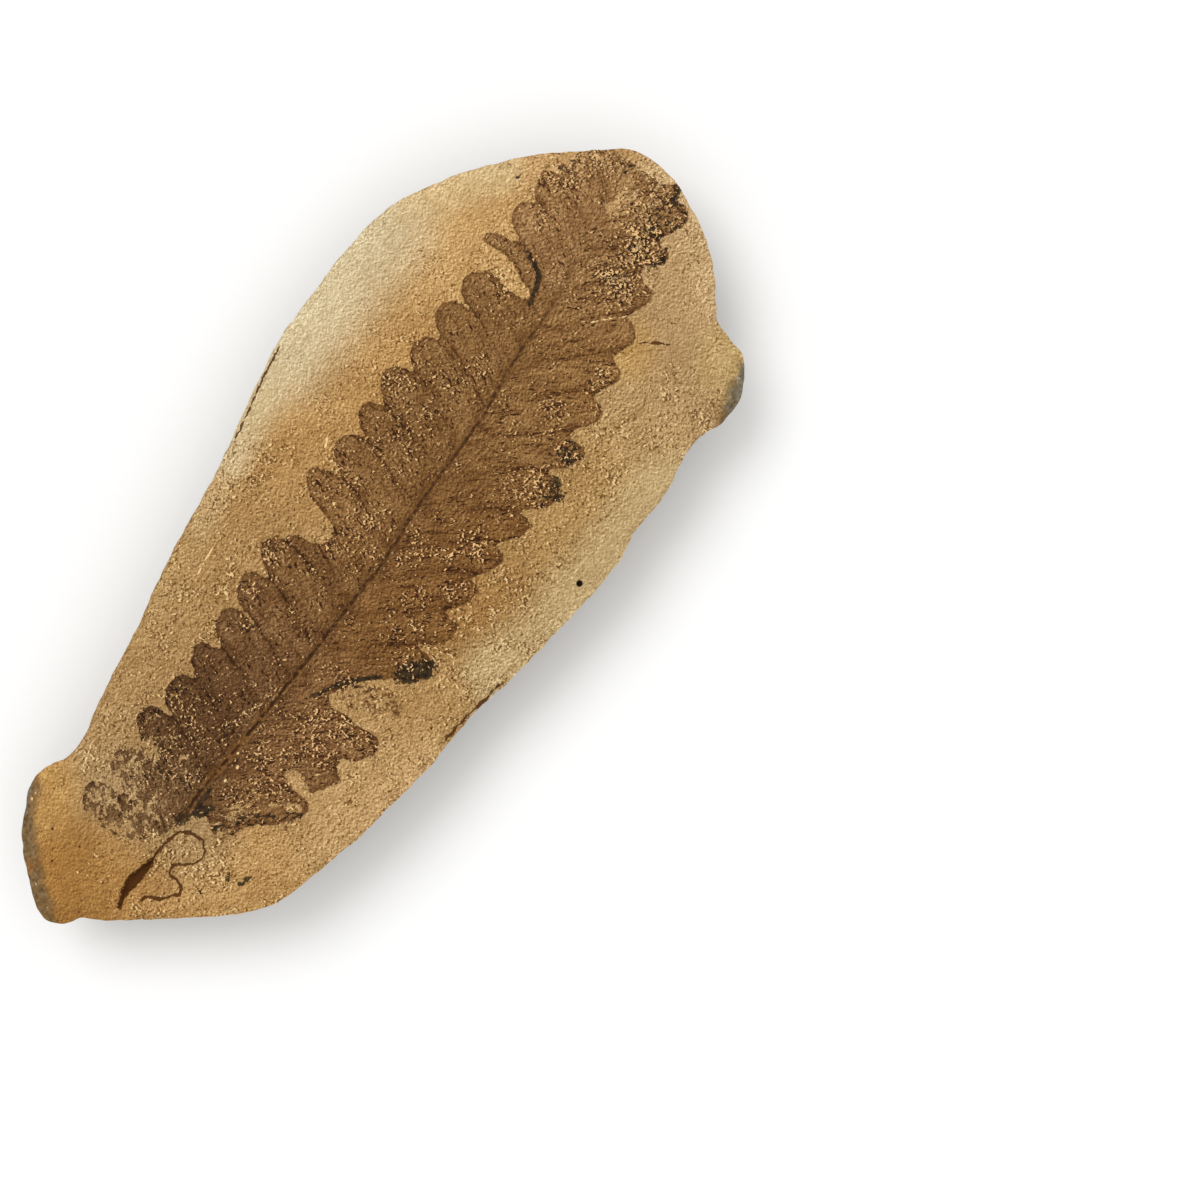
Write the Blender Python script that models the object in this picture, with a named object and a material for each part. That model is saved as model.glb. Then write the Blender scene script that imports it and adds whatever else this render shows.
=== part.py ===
"""Fossil fern plate: half of a split ironstone nodule, lying face up.

Its split face carries a fern frond in low relief: a fine rachis groove with a row of leaflets on
each side. +X runs along the plate towards the frond's tip, +Z is up, and the origin is under the
middle of the plate, on the surface it lies on. Lengths below are in millimetres.
"""

import math

import bmesh
import bpy
from mathutils import Vector
from mathutils.geometry import interpolate_bezier

MM = 0.001

# The stone
RIM_HEIGHT = 11.6
CROWN_RISE = 0.85  # of the face's middle over its rim
CROWN_REACH = 14.0  # from the rim, where the face levels out
STONE_COLOUR = (0.45, 0.27, 0.11, 1.0)
STONE_ROUGHNESS = 0.8
OUTLINE_STEPS = 2  # samples between one outline point and the next
OUTLINE = [
    (-61.0, 4.8),
    (-60.2, 7.2),
    (-58.0, 10.3),
    (-55.0, 13.4),
    (-50.0, 16.4),
    (-47.5, 16.9),
    (-45.2, 16.4),
    (-42.6, 15.0),
    (-39.9, 15.0),
    (-33.0, 16.5),
    (-24.0, 18.1),
    (-15.0, 20.0),
    (-4.0, 21.6),
    (6.0, 23.7),
    (13.0, 25.2),
    (20.0, 25.6),
    (29.0, 25.5),
    (34.0, 24.9),
    (38.0, 23.8),
    (46.0, 19.2),
    (52.8, 13.5),
    (57.8, 8.0),
    (60.2, 4.8),
    (61.0, 1.2),
    (60.4, -3.4),
    (57.3, -9.6),
    (54.6, -13.1),
    (51.0, -16.2),
    (49.9, -17.3),
    (49.0, -19.7),
    (48.3, -22.2),
    (46.8, -23.8),
    (43.6, -25.4),
    (40.2, -25.5),
    (36.0, -24.2),
    (28.0, -25.2),
    (22.0, -25.0),
    (17.0, -25.6),
    (7.0, -24.8),
    (-3.5, -23.4),
    (-9.0, -22.4),
    (-16.0, -22.1),
    (-25.0, -21.0),
    (-35.0, -19.0),
    (-42.0, -16.9),
    (-46.5, -13.4),
    (-51.5, -7.6),
    (-55.0, -3.3),
    (-57.0, -0.5),
    (-58.0, 1.2),
    (-59.3, 2.0),
    (-60.4, 3.1),
]
# Places where the rim is worn down: (x, y, reach along the rim, depth, width of the slope)
WORN_RIMS = [
    (-53.5, 14.0, 9.0, 1.6, 3.2),
    (22.0, 25.0, 24.0, 0.9, 5.0),
    (8.0, -25.0, 20.0, 0.6, 3.5),
    (43.5, -25.5, 4.5, 1.1, 2.4),
]
RIM_WEAR = (0.35, 1.3)  # depth and width of the slope elsewhere
FACE_RING_SHARES = (0.12, 0.36, 0.62)  # of the way from the long axis to the rim
FACE_RING_INSETS = (4.0, 1.8, 0.6)  # from the rim
FACE_AXIS_SHARE = 0.7  # of the stone's length
BACK_AXIS_SHARE = 0.34
BACK_RINGS = 7
BACK_TAPER = 1.12  # over 1 makes the back more pointed towards the rim
BACK_ROUNDING = 45  # passes that even out the outline's corners down the back
BASE_SHARE = 0.3  # flat part of the back, as a share of the way from its axis to the rim
# Broad swells: (amplitude, wave vector x, wave vector y, phase)
FACE_SWELLS = [(0.08, 0.11, 0.05, 0.6), (0.06, -0.07, 0.19, 2.1)]
BACK_SWELLS = [(0.32, 0.16, 0.09, 1.2), (0.22, -0.10, 0.27, 0.4), (0.16, 0.33, 0.14, 3.0)]

# The frond
RACHIS = [
    (-44.0, -1.4),
    (-40.0, -1.2),
    (-35.0, -1.05),
    (-30.0, -1.4),
    (-18.0, -1.75),
    (-5.0, -1.95),
    (0.0, -2.05),
    (10.0, -1.25),
    (22.0, -1.05),
    (30.0, 0.0),
    (40.0, 0.5),
    (48.4, 2.2),
    (58.4, 3.6),
]
GROOVE_SPAN = (-41.0, 46.0)  # along X
GROOVE_RADIUS = 0.32
GROOVE_STEPS = 2  # samples between one point of the rachis and the next
LEAFLET_RELIEF = 0.42
LEAFLET_MARGIN = 0.06  # height of a leaflet's edge over the face
LEAFLET_ROOT = 0.9  # depth that a leaflet's solid reaches into the stone
# Leaflets: (tip x, tip y, half width, share of the full relief)
UPPER_LEAFLETS = [
    (-44.5, 10.8, 2.1, 0.5),
    (-38.6, 10.6, 2.3, 0.6),
    (-33.2, 11.0, 2.2, 0.8),
    (-28.0, 10.4, 2.5, 0.9),
    (-23.0, 10.5, 2.4, 1.0),
    (-17.5, 10.4, 2.4, 1.0),
    (-12.2, 11.2, 2.4, 1.0),
    (-7.0, 11.5, 2.5, 1.0),
    (-1.4, 5.2, 2.1, 0.8),
    (3.6, 12.4, 2.3, 1.0),
    (8.6, 11.9, 2.5, 1.0),
    (13.8, 12.0, 2.2, 1.0),
    (19.2, 12.3, 2.4, 1.0),
    (24.6, 11.5, 2.5, 1.0),
    (30.0, 11.6, 2.4, 1.0),
    (35.0, 11.4, 2.5, 1.0),
    (45.6, 11.6, 2.4, 1.0),
    (50.4, 11.5, 2.4, 0.9),
    (54.6, 9.6, 2.3, 0.7),
    (57.6, 6.3, 1.5, 0.5),
]
LOWER_LEAFLETS = [
    (-30.8, -13.2, 2.3, 0.9),
    (-25.0, -14.2, 2.3, 0.9),
    (-19.0, -15.7, 2.4, 0.9),
    (-13.2, -14.8, 1.9, 0.4),
    (-7.3, -15.1, 2.4, 1.0),
    (-1.9, -14.5, 2.4, 1.0),
    (3.8, -13.7, 2.5, 1.0),
    (8.8, -13.8, 2.3, 1.0),
    (13.8, -14.0, 2.4, 1.0),
    (19.3, -14.6, 2.6, 1.0),
    (25.2, -14.1, 2.3, 1.0),
    (30.8, -12.8, 2.4, 1.0),
    (36.0, -11.9, 2.4, 1.0),
    (41.3, -10.5, 2.4, 1.0),
    (46.5, -9.1, 2.3, 0.9),
    (51.9, -7.6, 1.9, 0.8),
    (57.0, -6.4, 2.2, 0.7),
]
FOLDED_LEAFLETS = [(-4.2, 9.3, 0.9, 0.5), (40.8, 12.6, 1.1, 0.9)]
FIRST_LOWER_LEAFLETS = [(-36.9, -9.4, 1.9, 0.6)]
# How far a leaflet's foot and the pull of its middle lie behind its tip, along X
UPPER_LEAN = (4.2, 0.4)
LOWER_LEAN = (9.0, 3.2)
FOLDED_LEAN = (2.0, 0.2)
FIRST_LOWER_LEAN = (3.4, 1.4)
AXIS_STEPS = 4
TIP_ANGLES = (40.0, 72.0)  # degrees round the leaflet's tip
CROSS_STATIONS = (-1.0, -0.55, 0.0, 0.55, 1.0)  # across a leaflet, in half widths
FOOT_RELIEF = 0.55  # of the leaflet's relief, at its foot

# Hollows cut into the face
SLOT_CENTRE = (-49.9, -1.15)
SLOT_SIZE = (7.8, 1.25, 2.2)
SLOT_TILT = -2.0  # degrees
PIT_CENTRE = (13.0, -23.2)
PIT_RADIUS = 0.5
CRACK_RADIUS = 0.16
CRACK_STEPS = 1
CRACKS = [
    [(-45.8, -1.3), (-44.0, -1.5), (-42.0, -1.8), (-41.0, -3.5), (-40.9, -5.0)],
    [(-40.9, -5.0), (-42.0, -6.0), (-43.5, -6.0), (-44.8, -4.8), (-45.5, -3.6)],
    [(-46.7, -4.2), (-46.8, -5.5), (-47.8, -6.6), (-49.0, -6.0), (-50.0, -5.0), (-51.5, -3.1)],
]
TUBE_BEVEL_RESOLUTION = 0
CUTTER_SEGMENTS = 16  # round the slot and the pit
WELD_DISTANCE = 0.001


def clear_scene():
    for obj in list(bpy.data.objects):
        bpy.data.objects.remove(obj)


def new_collection(name):
    collection = bpy.data.collections.new(name)
    bpy.context.scene.collection.children.link(collection)
    return collection


def smooth_curve(points, steps, closed):
    """Samples of a smooth curve through the points, with `steps` samples on each span."""
    knots = [Vector(point) for point in points]
    last = len(knots) - 1
    samples = []
    for i in range(last + closed):
        start = knots[i]
        end = knots[(i + 1) % len(knots)]
        before = knots[i - 1] if i or closed else start
        after = knots[(i + 2) % len(knots)] if i + 1 < last or closed else end
        reach = (end - start).length / 3
        start_handle = start + (end - before).normalized() * reach
        end_handle = end - (after - start).normalized() * reach
        samples += interpolate_bezier(start, start_handle, end_handle, end, steps + 1)[:-1]
    if not closed:
        samples.append(knots[-1])
    return samples


def swell(x, y, waves):
    return sum(size * math.sin(kx * x + ky * y + phase) for size, kx, ky, phase in waves)


def distance_to_rim(x, y, rim):
    spot = Vector((x, y))
    nearest = math.inf
    for start, end in zip(rim, rim[1:] + rim[:1]):
        side = end - start
        along = (spot - start).dot(side) / side.length_squared
        foot = start + side * min(max(along, 0.0), 1.0)
        nearest = min(nearest, (spot - foot).length)
    return nearest


def rim_slope(x, y, inset):
    """How far the worn rim lies below the face, at a distance `inset` from the rim."""
    depth, width = RIM_WEAR
    drop = depth * math.exp(-((inset / width) ** 2))
    for worn_x, worn_y, reach, depth, width in WORN_RIMS:
        near = math.exp(-(((x - worn_x) ** 2 + (y - worn_y) ** 2) / reach**2))
        drop += near * depth * math.exp(-((inset / width) ** 2))
    return drop


def face_height(x, y, rim):
    inset = distance_to_rim(x, y, rim)
    rise = 1.0 - (1.0 - min(inset / CROWN_REACH, 1.0)) ** 2
    return RIM_HEIGHT + CROWN_RISE * rise + swell(x, y, FACE_SWELLS) - rim_slope(x, y, inset)


def rachis_height(x):
    """The rachis's Y at this X."""
    for (x0, y0), (x1, y1) in zip(RACHIS, RACHIS[1:]):
        if x <= x1:
            return y0 + (y1 - y0) * max((x - x0) / (x1 - x0), 0.0)
    return RACHIS[-1][1]


def loft(mesh, rings):
    """Skins a list of closed rings, each with the same number of points."""
    for ring, following in zip(rings, rings[1:]):
        for i in range(len(ring)):
            mesh.faces.new((ring[i - 1], ring[i], following[i], following[i - 1]))


def add_ring(mesh, points):
    return [mesh.verts.new(Vector(point) * MM) for point in points]


def face_rings(rim):
    """Rings of points on the split face, from its middle out to the rim."""
    rings = []
    for share in FACE_RING_SHARES:
        rings.append([face_point(spot, share, rim) for spot in rim])
    for inset in FACE_RING_INSETS:
        shares = [1.0 - inset / (spot - face_axis_point(spot)).length for spot in rim]
        rings.append([face_point(spot, share, rim) for spot, share in zip(rim, shares)])
    rings.append([face_point(spot, 1.0, rim) for spot in rim])
    return rings


def face_axis_point(spot):
    """The point of the face's long axis that a rim point's rings shrink towards."""
    return Vector((spot.x * FACE_AXIS_SHARE, 0.0))


def face_point(spot, share, rim):
    x, y = face_axis_point(spot).lerp(spot, share)
    return (x, y, face_height(x, y, rim))


def rounded_rim(rim):
    """The rim with its corners and bumps evened out."""
    loop = rim
    for _ in range(BACK_ROUNDING):
        following = loop[1:] + loop[:1]
        loop = [(loop[i - 1] + loop[i] * 2 + following[i]) / 4 for i in range(len(loop))]
    return loop


def back_rings(rim):
    """Rings of points on the convex back, from the rim down to the flat base."""
    rings = []
    rounded = rounded_rim(rim)
    for step in range(1, BACK_RINGS + 1):
        turn = math.pi / 2 * step / BACK_RINGS
        share = BASE_SHARE + (1.0 - BASE_SHARE) * math.cos(turn) ** BACK_TAPER
        ring = []
        for spot, even_spot in zip(rim, rounded):
            outer = spot.lerp(even_spot, math.sin(turn))
            axis = Vector((outer.x * BACK_AXIS_SHARE, 0.0))
            x, y = axis + (outer - axis) * share
            rim_height = face_height(spot.x, spot.y, rim)
            fade = math.sin(2.0 * turn) ** 2
            height = rim_height * (1.0 - math.sin(turn)) + fade * swell(x, y, BACK_SWELLS)
            ring.append((x, y, 0.0 if step == BACK_RINGS else max(height, 0.0)))
        rings.append(ring)
    return rings


def make_stone(collection, rim):
    mesh = bmesh.new()
    rings = [add_ring(mesh, ring) for ring in face_rings(rim) + back_rings(rim)]
    loft(mesh, rings)
    mesh.faces.new(rings[0])
    mesh.faces.new(rings[-1])
    bmesh.ops.triangulate(mesh, faces=[face for face in mesh.faces if len(face.verts) > 4])
    bmesh.ops.recalc_face_normals(mesh, faces=mesh.faces)
    return object_from(mesh, "fossil_plate", collection)


def object_from(mesh, name, collection):
    data = bpy.data.meshes.new(name)
    mesh.to_mesh(data)
    mesh.free()
    obj = bpy.data.objects.new(name, data)
    collection.objects.link(obj)
    return obj


def leaflet_axis(tip_x, tip_y, half_width, lean):
    """The leaflet's middle line, from its foot on the rachis to the centre of its round tip."""
    foot_lean, middle_lean = lean
    side = math.copysign(1.0, tip_y)
    foot = Vector((tip_x - foot_lean, rachis_height(tip_x - foot_lean)))
    middle = Vector((tip_x - middle_lean, (foot.y + tip_y) / 2))
    end = Vector((tip_x, tip_y - side * half_width))
    axis = []
    for step in range(AXIS_STEPS + 1):
        t = step / AXIS_STEPS
        axis.append(foot * (1 - t) ** 2 + middle * 2 * t * (1 - t) + end * t**2)
    return axis


def leaflet_stations(axis, half_width):
    """(centre, direction along the leaflet, half width, relief) at each of its cross-sections."""
    stations = []
    for i, centre in enumerate(axis):
        ahead = axis[min(i + 1, AXIS_STEPS)] - axis[max(i - 1, 0)]
        grown = min(2.0 * i / AXIS_STEPS, 1.0)
        relief = FOOT_RELIEF + (1.0 - FOOT_RELIEF) * grown
        stations.append((centre, ahead.normalized(), half_width, relief))
    centre, ahead = stations[-1][:2]
    for angle in map(math.radians, TIP_ANGLES):
        width = half_width * math.cos(angle)
        stations.append((centre + ahead * half_width * math.sin(angle), ahead, width, math.cos(angle)))
    return stations


def make_leaflet(name, leaflet, lean, collection, rim):
    """A tongue with a domed top, whose lower part is sunk in the stone."""
    tip_x, tip_y, half_width, share = leaflet
    axis = leaflet_axis(tip_x, tip_y, half_width, lean)
    mesh = bmesh.new()
    sections = []
    for centre, ahead, width, relief in leaflet_stations(axis, half_width):
        across = Vector((ahead.y, -ahead.x))
        top = []
        for station in CROSS_STATIONS:
            x, y = centre + across * width * station
            dome = LEAFLET_RELIEF * share * relief * (1.0 - station**2)
            top.append((x, y, face_height(x, y, rim) + LEAFLET_MARGIN + dome))
        roots = [(x, y, z - LEAFLET_ROOT) for x, y, z in (top[-1], top[0])]
        sections.append(add_ring(mesh, top + roots))
    loft(mesh, sections)
    mesh.faces.new(sections[0])
    mesh.faces.new(sections[-1])
    bmesh.ops.triangulate(mesh, faces=mesh.faces)
    bmesh.ops.recalc_face_normals(mesh, faces=mesh.faces)
    hide_helper(object_from(mesh, name, collection))


def hide_helper(obj):
    obj.hide_render = True
    obj.display_type = "WIRE"


def make_tube_cutter(name, points, radius, collection, rim):
    """A thin tube lying in the face along the points, which cuts a groove."""
    curve = bpy.data.curves.new(name, "CURVE")
    curve.dimensions = "3D"
    curve.bevel_depth = radius * MM
    curve.bevel_resolution = TUBE_BEVEL_RESOLUTION
    curve.use_fill_caps = True
    spline = curve.splines.new("POLY")
    spline.points.add(len(points) - 1)
    for spot, (x, y) in zip(spline.points, points):
        spot.co = (x * MM, y * MM, groove_height(x, y, rim) * MM, 1.0)
    guide = bpy.data.objects.new(name + "_guide", curve)
    collection.objects.link(guide)
    graph = bpy.context.evaluated_depsgraph_get()
    data = bpy.data.meshes.new_from_object(guide.evaluated_get(graph))
    bpy.data.objects.remove(guide)
    mesh = bmesh.new()
    mesh.from_mesh(data)
    bmesh.ops.remove_doubles(mesh, verts=mesh.verts, dist=WELD_DISTANCE * MM)
    bmesh.ops.recalc_face_normals(mesh, faces=mesh.faces)
    hide_helper(object_from(mesh, name, collection))


def groove_height(x, y, rim):
    """The level of the leaflets' feet on the frond, and of the bare face off it."""
    on_frond = min(max((x - RACHIS[1][0]) / GROOVE_RADIUS, 0.0), 1.0)
    return face_height(x, y, rim) + on_frond * (LEAFLET_MARGIN + FOOT_RELIEF * LEAFLET_RELIEF / 2)


def make_ellipsoid_cutter(name, centre, size, tilt, collection, rim):
    mesh = bmesh.new()
    bmesh.ops.create_uvsphere(
        mesh, u_segments=CUTTER_SEGMENTS, v_segments=CUTTER_SEGMENTS // 2, radius=MM / 2
    )
    obj = object_from(mesh, name, collection)
    obj.scale = size
    obj.rotation_euler.z = math.radians(tilt)
    obj.location = Vector((*centre, face_height(*centre, rim))) * MM
    hide_helper(obj)


def make_cutters(collection, rim):
    start, end = GROOVE_SPAN
    rachis = smooth_curve(RACHIS, GROOVE_STEPS, False)
    groove = [spot for spot in rachis if start <= spot.x <= end]
    make_tube_cutter("rachis_groove", groove, GROOVE_RADIUS, collection, rim)
    for number, crack in enumerate(CRACKS, start=1):
        path = smooth_curve(crack, CRACK_STEPS, False)
        make_tube_cutter(f"crack_{number}", path, CRACK_RADIUS, collection, rim)
    make_ellipsoid_cutter("rachis_slot", SLOT_CENTRE, SLOT_SIZE, SLOT_TILT, collection, rim)
    make_ellipsoid_cutter("pit", PIT_CENTRE, (2 * PIT_RADIUS,) * 3, 0.0, collection, rim)


def make_leaflets(collection, rim):
    for row, leaflets, lean in (
        ("upper", UPPER_LEAFLETS, UPPER_LEAN),
        ("folded", FOLDED_LEAFLETS, FOLDED_LEAN),
        ("lower", LOWER_LEAFLETS, LOWER_LEAN),
        ("first_lower", FIRST_LOWER_LEAFLETS, FIRST_LOWER_LEAN),
    ):
        for number, leaflet in enumerate(leaflets, start=1):
            make_leaflet(f"{row}_leaflet_{number}", leaflet, lean, collection, rim)


def add_boolean(obj, operation, collection):
    modifier = obj.modifiers.new(operation.lower(), "BOOLEAN")
    modifier.operation = operation
    modifier.operand_type = "COLLECTION"
    modifier.collection = collection


def stone_material():
    material = bpy.data.materials.new("ironstone")
    material.use_nodes = True
    shader = material.node_tree.nodes["Principled BSDF"]
    shader.inputs["Base Color"].default_value = STONE_COLOUR
    shader.inputs["Roughness"].default_value = STONE_ROUGHNESS
    shader.inputs["Metallic"].default_value = 0.0
    return material


def main():
    clear_scene()
    plate = new_collection("fossil_fern_plate")
    leaflets = new_collection("leaflets")
    cutters = new_collection("cutters")
    rim = smooth_curve(OUTLINE, OUTLINE_STEPS, True)
    stone = make_stone(plate, rim)
    make_leaflets(leaflets, rim)
    make_cutters(cutters, rim)
    add_boolean(stone, "UNION", leaflets)
    add_boolean(stone, "DIFFERENCE", cutters)
    stone.data.materials.append(stone_material())


main()
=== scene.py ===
"""Looks of the fossil fern plate: half of an ironstone nodule with a fern frond on its split face.

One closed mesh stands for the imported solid. It repeats the solid's outline, face and back from the
same named values, and adds what the solid leaves out: the domed leaflets and the creases between
them, the rachis groove, the open slot, the cracks, the chipped rim and the rough weathered back.
Its one procedural material reads fields stored on the mesh, such as how far a point lies inside
the frond's edge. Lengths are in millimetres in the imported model's frame: +X runs to the frond's
tip, +Z is up, and the plate lies on z = 0.
"""

import math

import bpy
import numpy as np
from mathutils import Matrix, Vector, noise
from mathutils.geometry import interpolate_bezier

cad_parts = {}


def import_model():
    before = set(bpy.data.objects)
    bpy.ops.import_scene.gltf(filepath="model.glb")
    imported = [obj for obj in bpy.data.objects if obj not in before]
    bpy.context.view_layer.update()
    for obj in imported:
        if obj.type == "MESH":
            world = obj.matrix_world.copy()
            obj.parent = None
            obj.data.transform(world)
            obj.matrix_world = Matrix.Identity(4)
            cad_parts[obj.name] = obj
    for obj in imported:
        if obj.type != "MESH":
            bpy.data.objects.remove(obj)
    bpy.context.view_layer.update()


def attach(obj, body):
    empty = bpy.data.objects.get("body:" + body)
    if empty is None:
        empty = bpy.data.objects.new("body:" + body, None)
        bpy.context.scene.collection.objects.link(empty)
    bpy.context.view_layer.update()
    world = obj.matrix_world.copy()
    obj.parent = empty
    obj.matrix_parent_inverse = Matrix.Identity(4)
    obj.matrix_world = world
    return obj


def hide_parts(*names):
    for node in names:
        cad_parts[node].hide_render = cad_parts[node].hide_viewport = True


MM = 0.001

# The stone, as in the CAD source
RIM_HEIGHT = 11.6
CROWN_RISE = 0.85
CROWN_REACH = 14.0
OUTLINE_TIP = 23  # index of the outline point at the frond's end
OUTLINE = [
    (-61, 4.8), (-60.2, 7.2), (-58, 10.3), (-55, 13.4), (-50, 16.4), (-47.5, 16.9), (-45.2, 16.4),
    (-42.6, 15), (-39.9, 15), (-33, 16.5), (-24, 18.1), (-15, 20), (-4, 21.6), (6, 23.7),
    (13, 25.2), (20, 25.6), (29, 25.5), (34, 24.9), (38, 23.8), (46, 19.2), (52.8, 13.5), (57.8, 8),
    (60.2, 4.8), (61, 1.2), (60.4, -3.4), (57.3, -9.6), (54.6, -13.1), (51, -16.2), (49.9, -17.3),
    (49, -19.7), (48.3, -22.2), (46.8, -23.8), (43.6, -25.4), (40.2, -25.5), (36, -24.2),
    (28, -25.2), (22, -25), (17, -25.6), (7, -24.8), (-3.5, -23.4), (-9, -22.4), (-16, -22.1),
    (-25, -21), (-35, -19), (-42, -16.9), (-46.5, -13.4), (-51.5, -7.6), (-55, -3.3), (-57, -0.5),
    (-58, 1.2), (-59.3, 2), (-60.4, 3.1),
]
# Places where the rim is worn down: (x, y, reach along the rim, depth, width of the slope)
WORN_RIMS = [
    (-53.5, 14, 9, 1.6, 3.2), (22, 25, 24, 0.9, 5), (8, -25, 20, 0.6, 3.5),
    (43.5, -25.5, 4.5, 1.1, 2.4),
]
RIM_WEAR = (0.35, 1.3)
BACK_AXIS_SHARE = 0.34
BACK_TAPER = 1.12
BACK_ROUNDING = 13.7  # length of rim over which the back evens out the outline's bumps
BASE_SHARE = 0.3
FACE_SWELLS = [(0.08, 0.11, 0.05, 0.6), (0.06, -0.07, 0.19, 2.1)]
BACK_SWELLS = [(0.32, 0.16, 0.09, 1.2), (0.22, -0.1, 0.27, 0.4), (0.16, 0.33, 0.14, 3)]

# The frond, as in the CAD source
RACHIS = [
    (-44, -1.4), (-40, -1.2), (-35, -1.05), (-30, -1.4), (-18, -1.75), (-5, -1.95), (0, -2.05),
    (10, -1.25), (22, -1.05), (30, 0), (40, 0.5), (48.4, 2.2), (58.4, 3.6),
]
LEAFLET_RELIEF = 0.42
LEAFLET_MARGIN = 0.06
FOOT_RELIEF = 0.55
FOOT_LENGTH = 0.5  # of the leaflet, over which its relief grows from its foot
# Leaflets: (tip x, tip y, half width, share of the full relief)
UPPER_LEAFLETS = [
    (-44.5, 10.8, 2.1, 0.5), (-38.6, 10.6, 2.3, 0.6), (-33.2, 11, 2.2, 0.8), (-28, 10.4, 2.5, 0.9),
    (-23, 10.5, 2.4, 1), (-17.5, 10.4, 2.4, 1), (-12.2, 11.2, 2.4, 1), (-7, 11.5, 2.5, 1),
    (-1.4, 5.2, 2.1, 0.8), (3.6, 12.4, 2.3, 1), (8.6, 11.9, 2.5, 1), (13.8, 12, 2.2, 1),
    (19.2, 12.3, 2.4, 1), (24.6, 11.5, 2.5, 1), (30, 11.6, 2.4, 1), (35, 11.4, 2.5, 1),
    (45.6, 11.6, 2.4, 1), (50.4, 11.5, 2.4, 0.9), (54.6, 9.6, 2.3, 0.7), (57.6, 6.3, 1.5, 0.5),
]
LOWER_LEAFLETS = [
    (-30.8, -13.2, 2.3, 0.9), (-25, -14.2, 2.3, 0.9), (-19, -15.7, 2.4, 0.9),
    (-13.2, -14.8, 1.9, 0.4), (-7.3, -15.1, 2.4, 1), (-1.9, -14.5, 2.4, 1), (3.8, -13.7, 2.5, 1),
    (8.8, -13.8, 2.3, 1), (13.8, -14, 2.4, 1), (19.3, -14.6, 2.6, 1), (25.2, -14.1, 2.3, 1),
    (30.8, -12.8, 2.4, 1), (36, -11.9, 2.4, 1), (41.3, -10.5, 2.4, 1), (46.5, -9.1, 2.3, 0.9),
    (51.9, -7.6, 1.9, 0.8), (57, -6.4, 2.2, 0.7),
]
FOLDED_LEAFLETS = [(-4.2, 9.3, 0.9, 0.5), (40.8, 12.6, 1.1, 0.9)]
FIRST_LOWER_LEAFLETS = [(-36.9, -9.4, 1.9, 0.6)]
# How far a leaflet's foot and the pull of its middle lie behind its tip, along X
UPPER_LEAN = (4.2, 0.4)
LOWER_LEAN = (9.0, 3.2)
FOLDED_LEAN = (2.0, 0.2)
FIRST_LOWER_LEAN = (3.4, 1.4)
LEAFLET_ROWS = [
    (UPPER_LEAFLETS, UPPER_LEAN), (FOLDED_LEAFLETS, FOLDED_LEAN),
    (LOWER_LEAFLETS, LOWER_LEAN), (FIRST_LOWER_LEAFLETS, FIRST_LOWER_LEAN),
]
LEAFLET_STEPS = 10
FROND_WIDTHS = (12.5, 11.5)  # from the rachis to the leaflets' tips, above and below it
BLADE = (2.5, 7.5)  # from the rachis, where the joined blade parts into leaflets
BLADE_RELIEF = 0.21
BLADE_FADE = 0.6
JOINED_SHARE = 0.5  # of the leaflets' relief, where they are joined
# How far inside the film's edge each relief starts and is whole
BLADE_SLOPE = (-0.2, 1.2)
LEAFLET_SLOPE = (-0.15, 0.3)
MARGIN_SLOPE = (-0.1, 0.15)
CREASE_FADE = 0.12
FAR_OUTSIDE = -60.0
GRAIN_REACH = 1.2  # how far past the leaflets' tips their curve goes on, in frond widths
LOWER_GRAIN_SHIFT = 40.0  # so that the grain of the two rows differs
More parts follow.
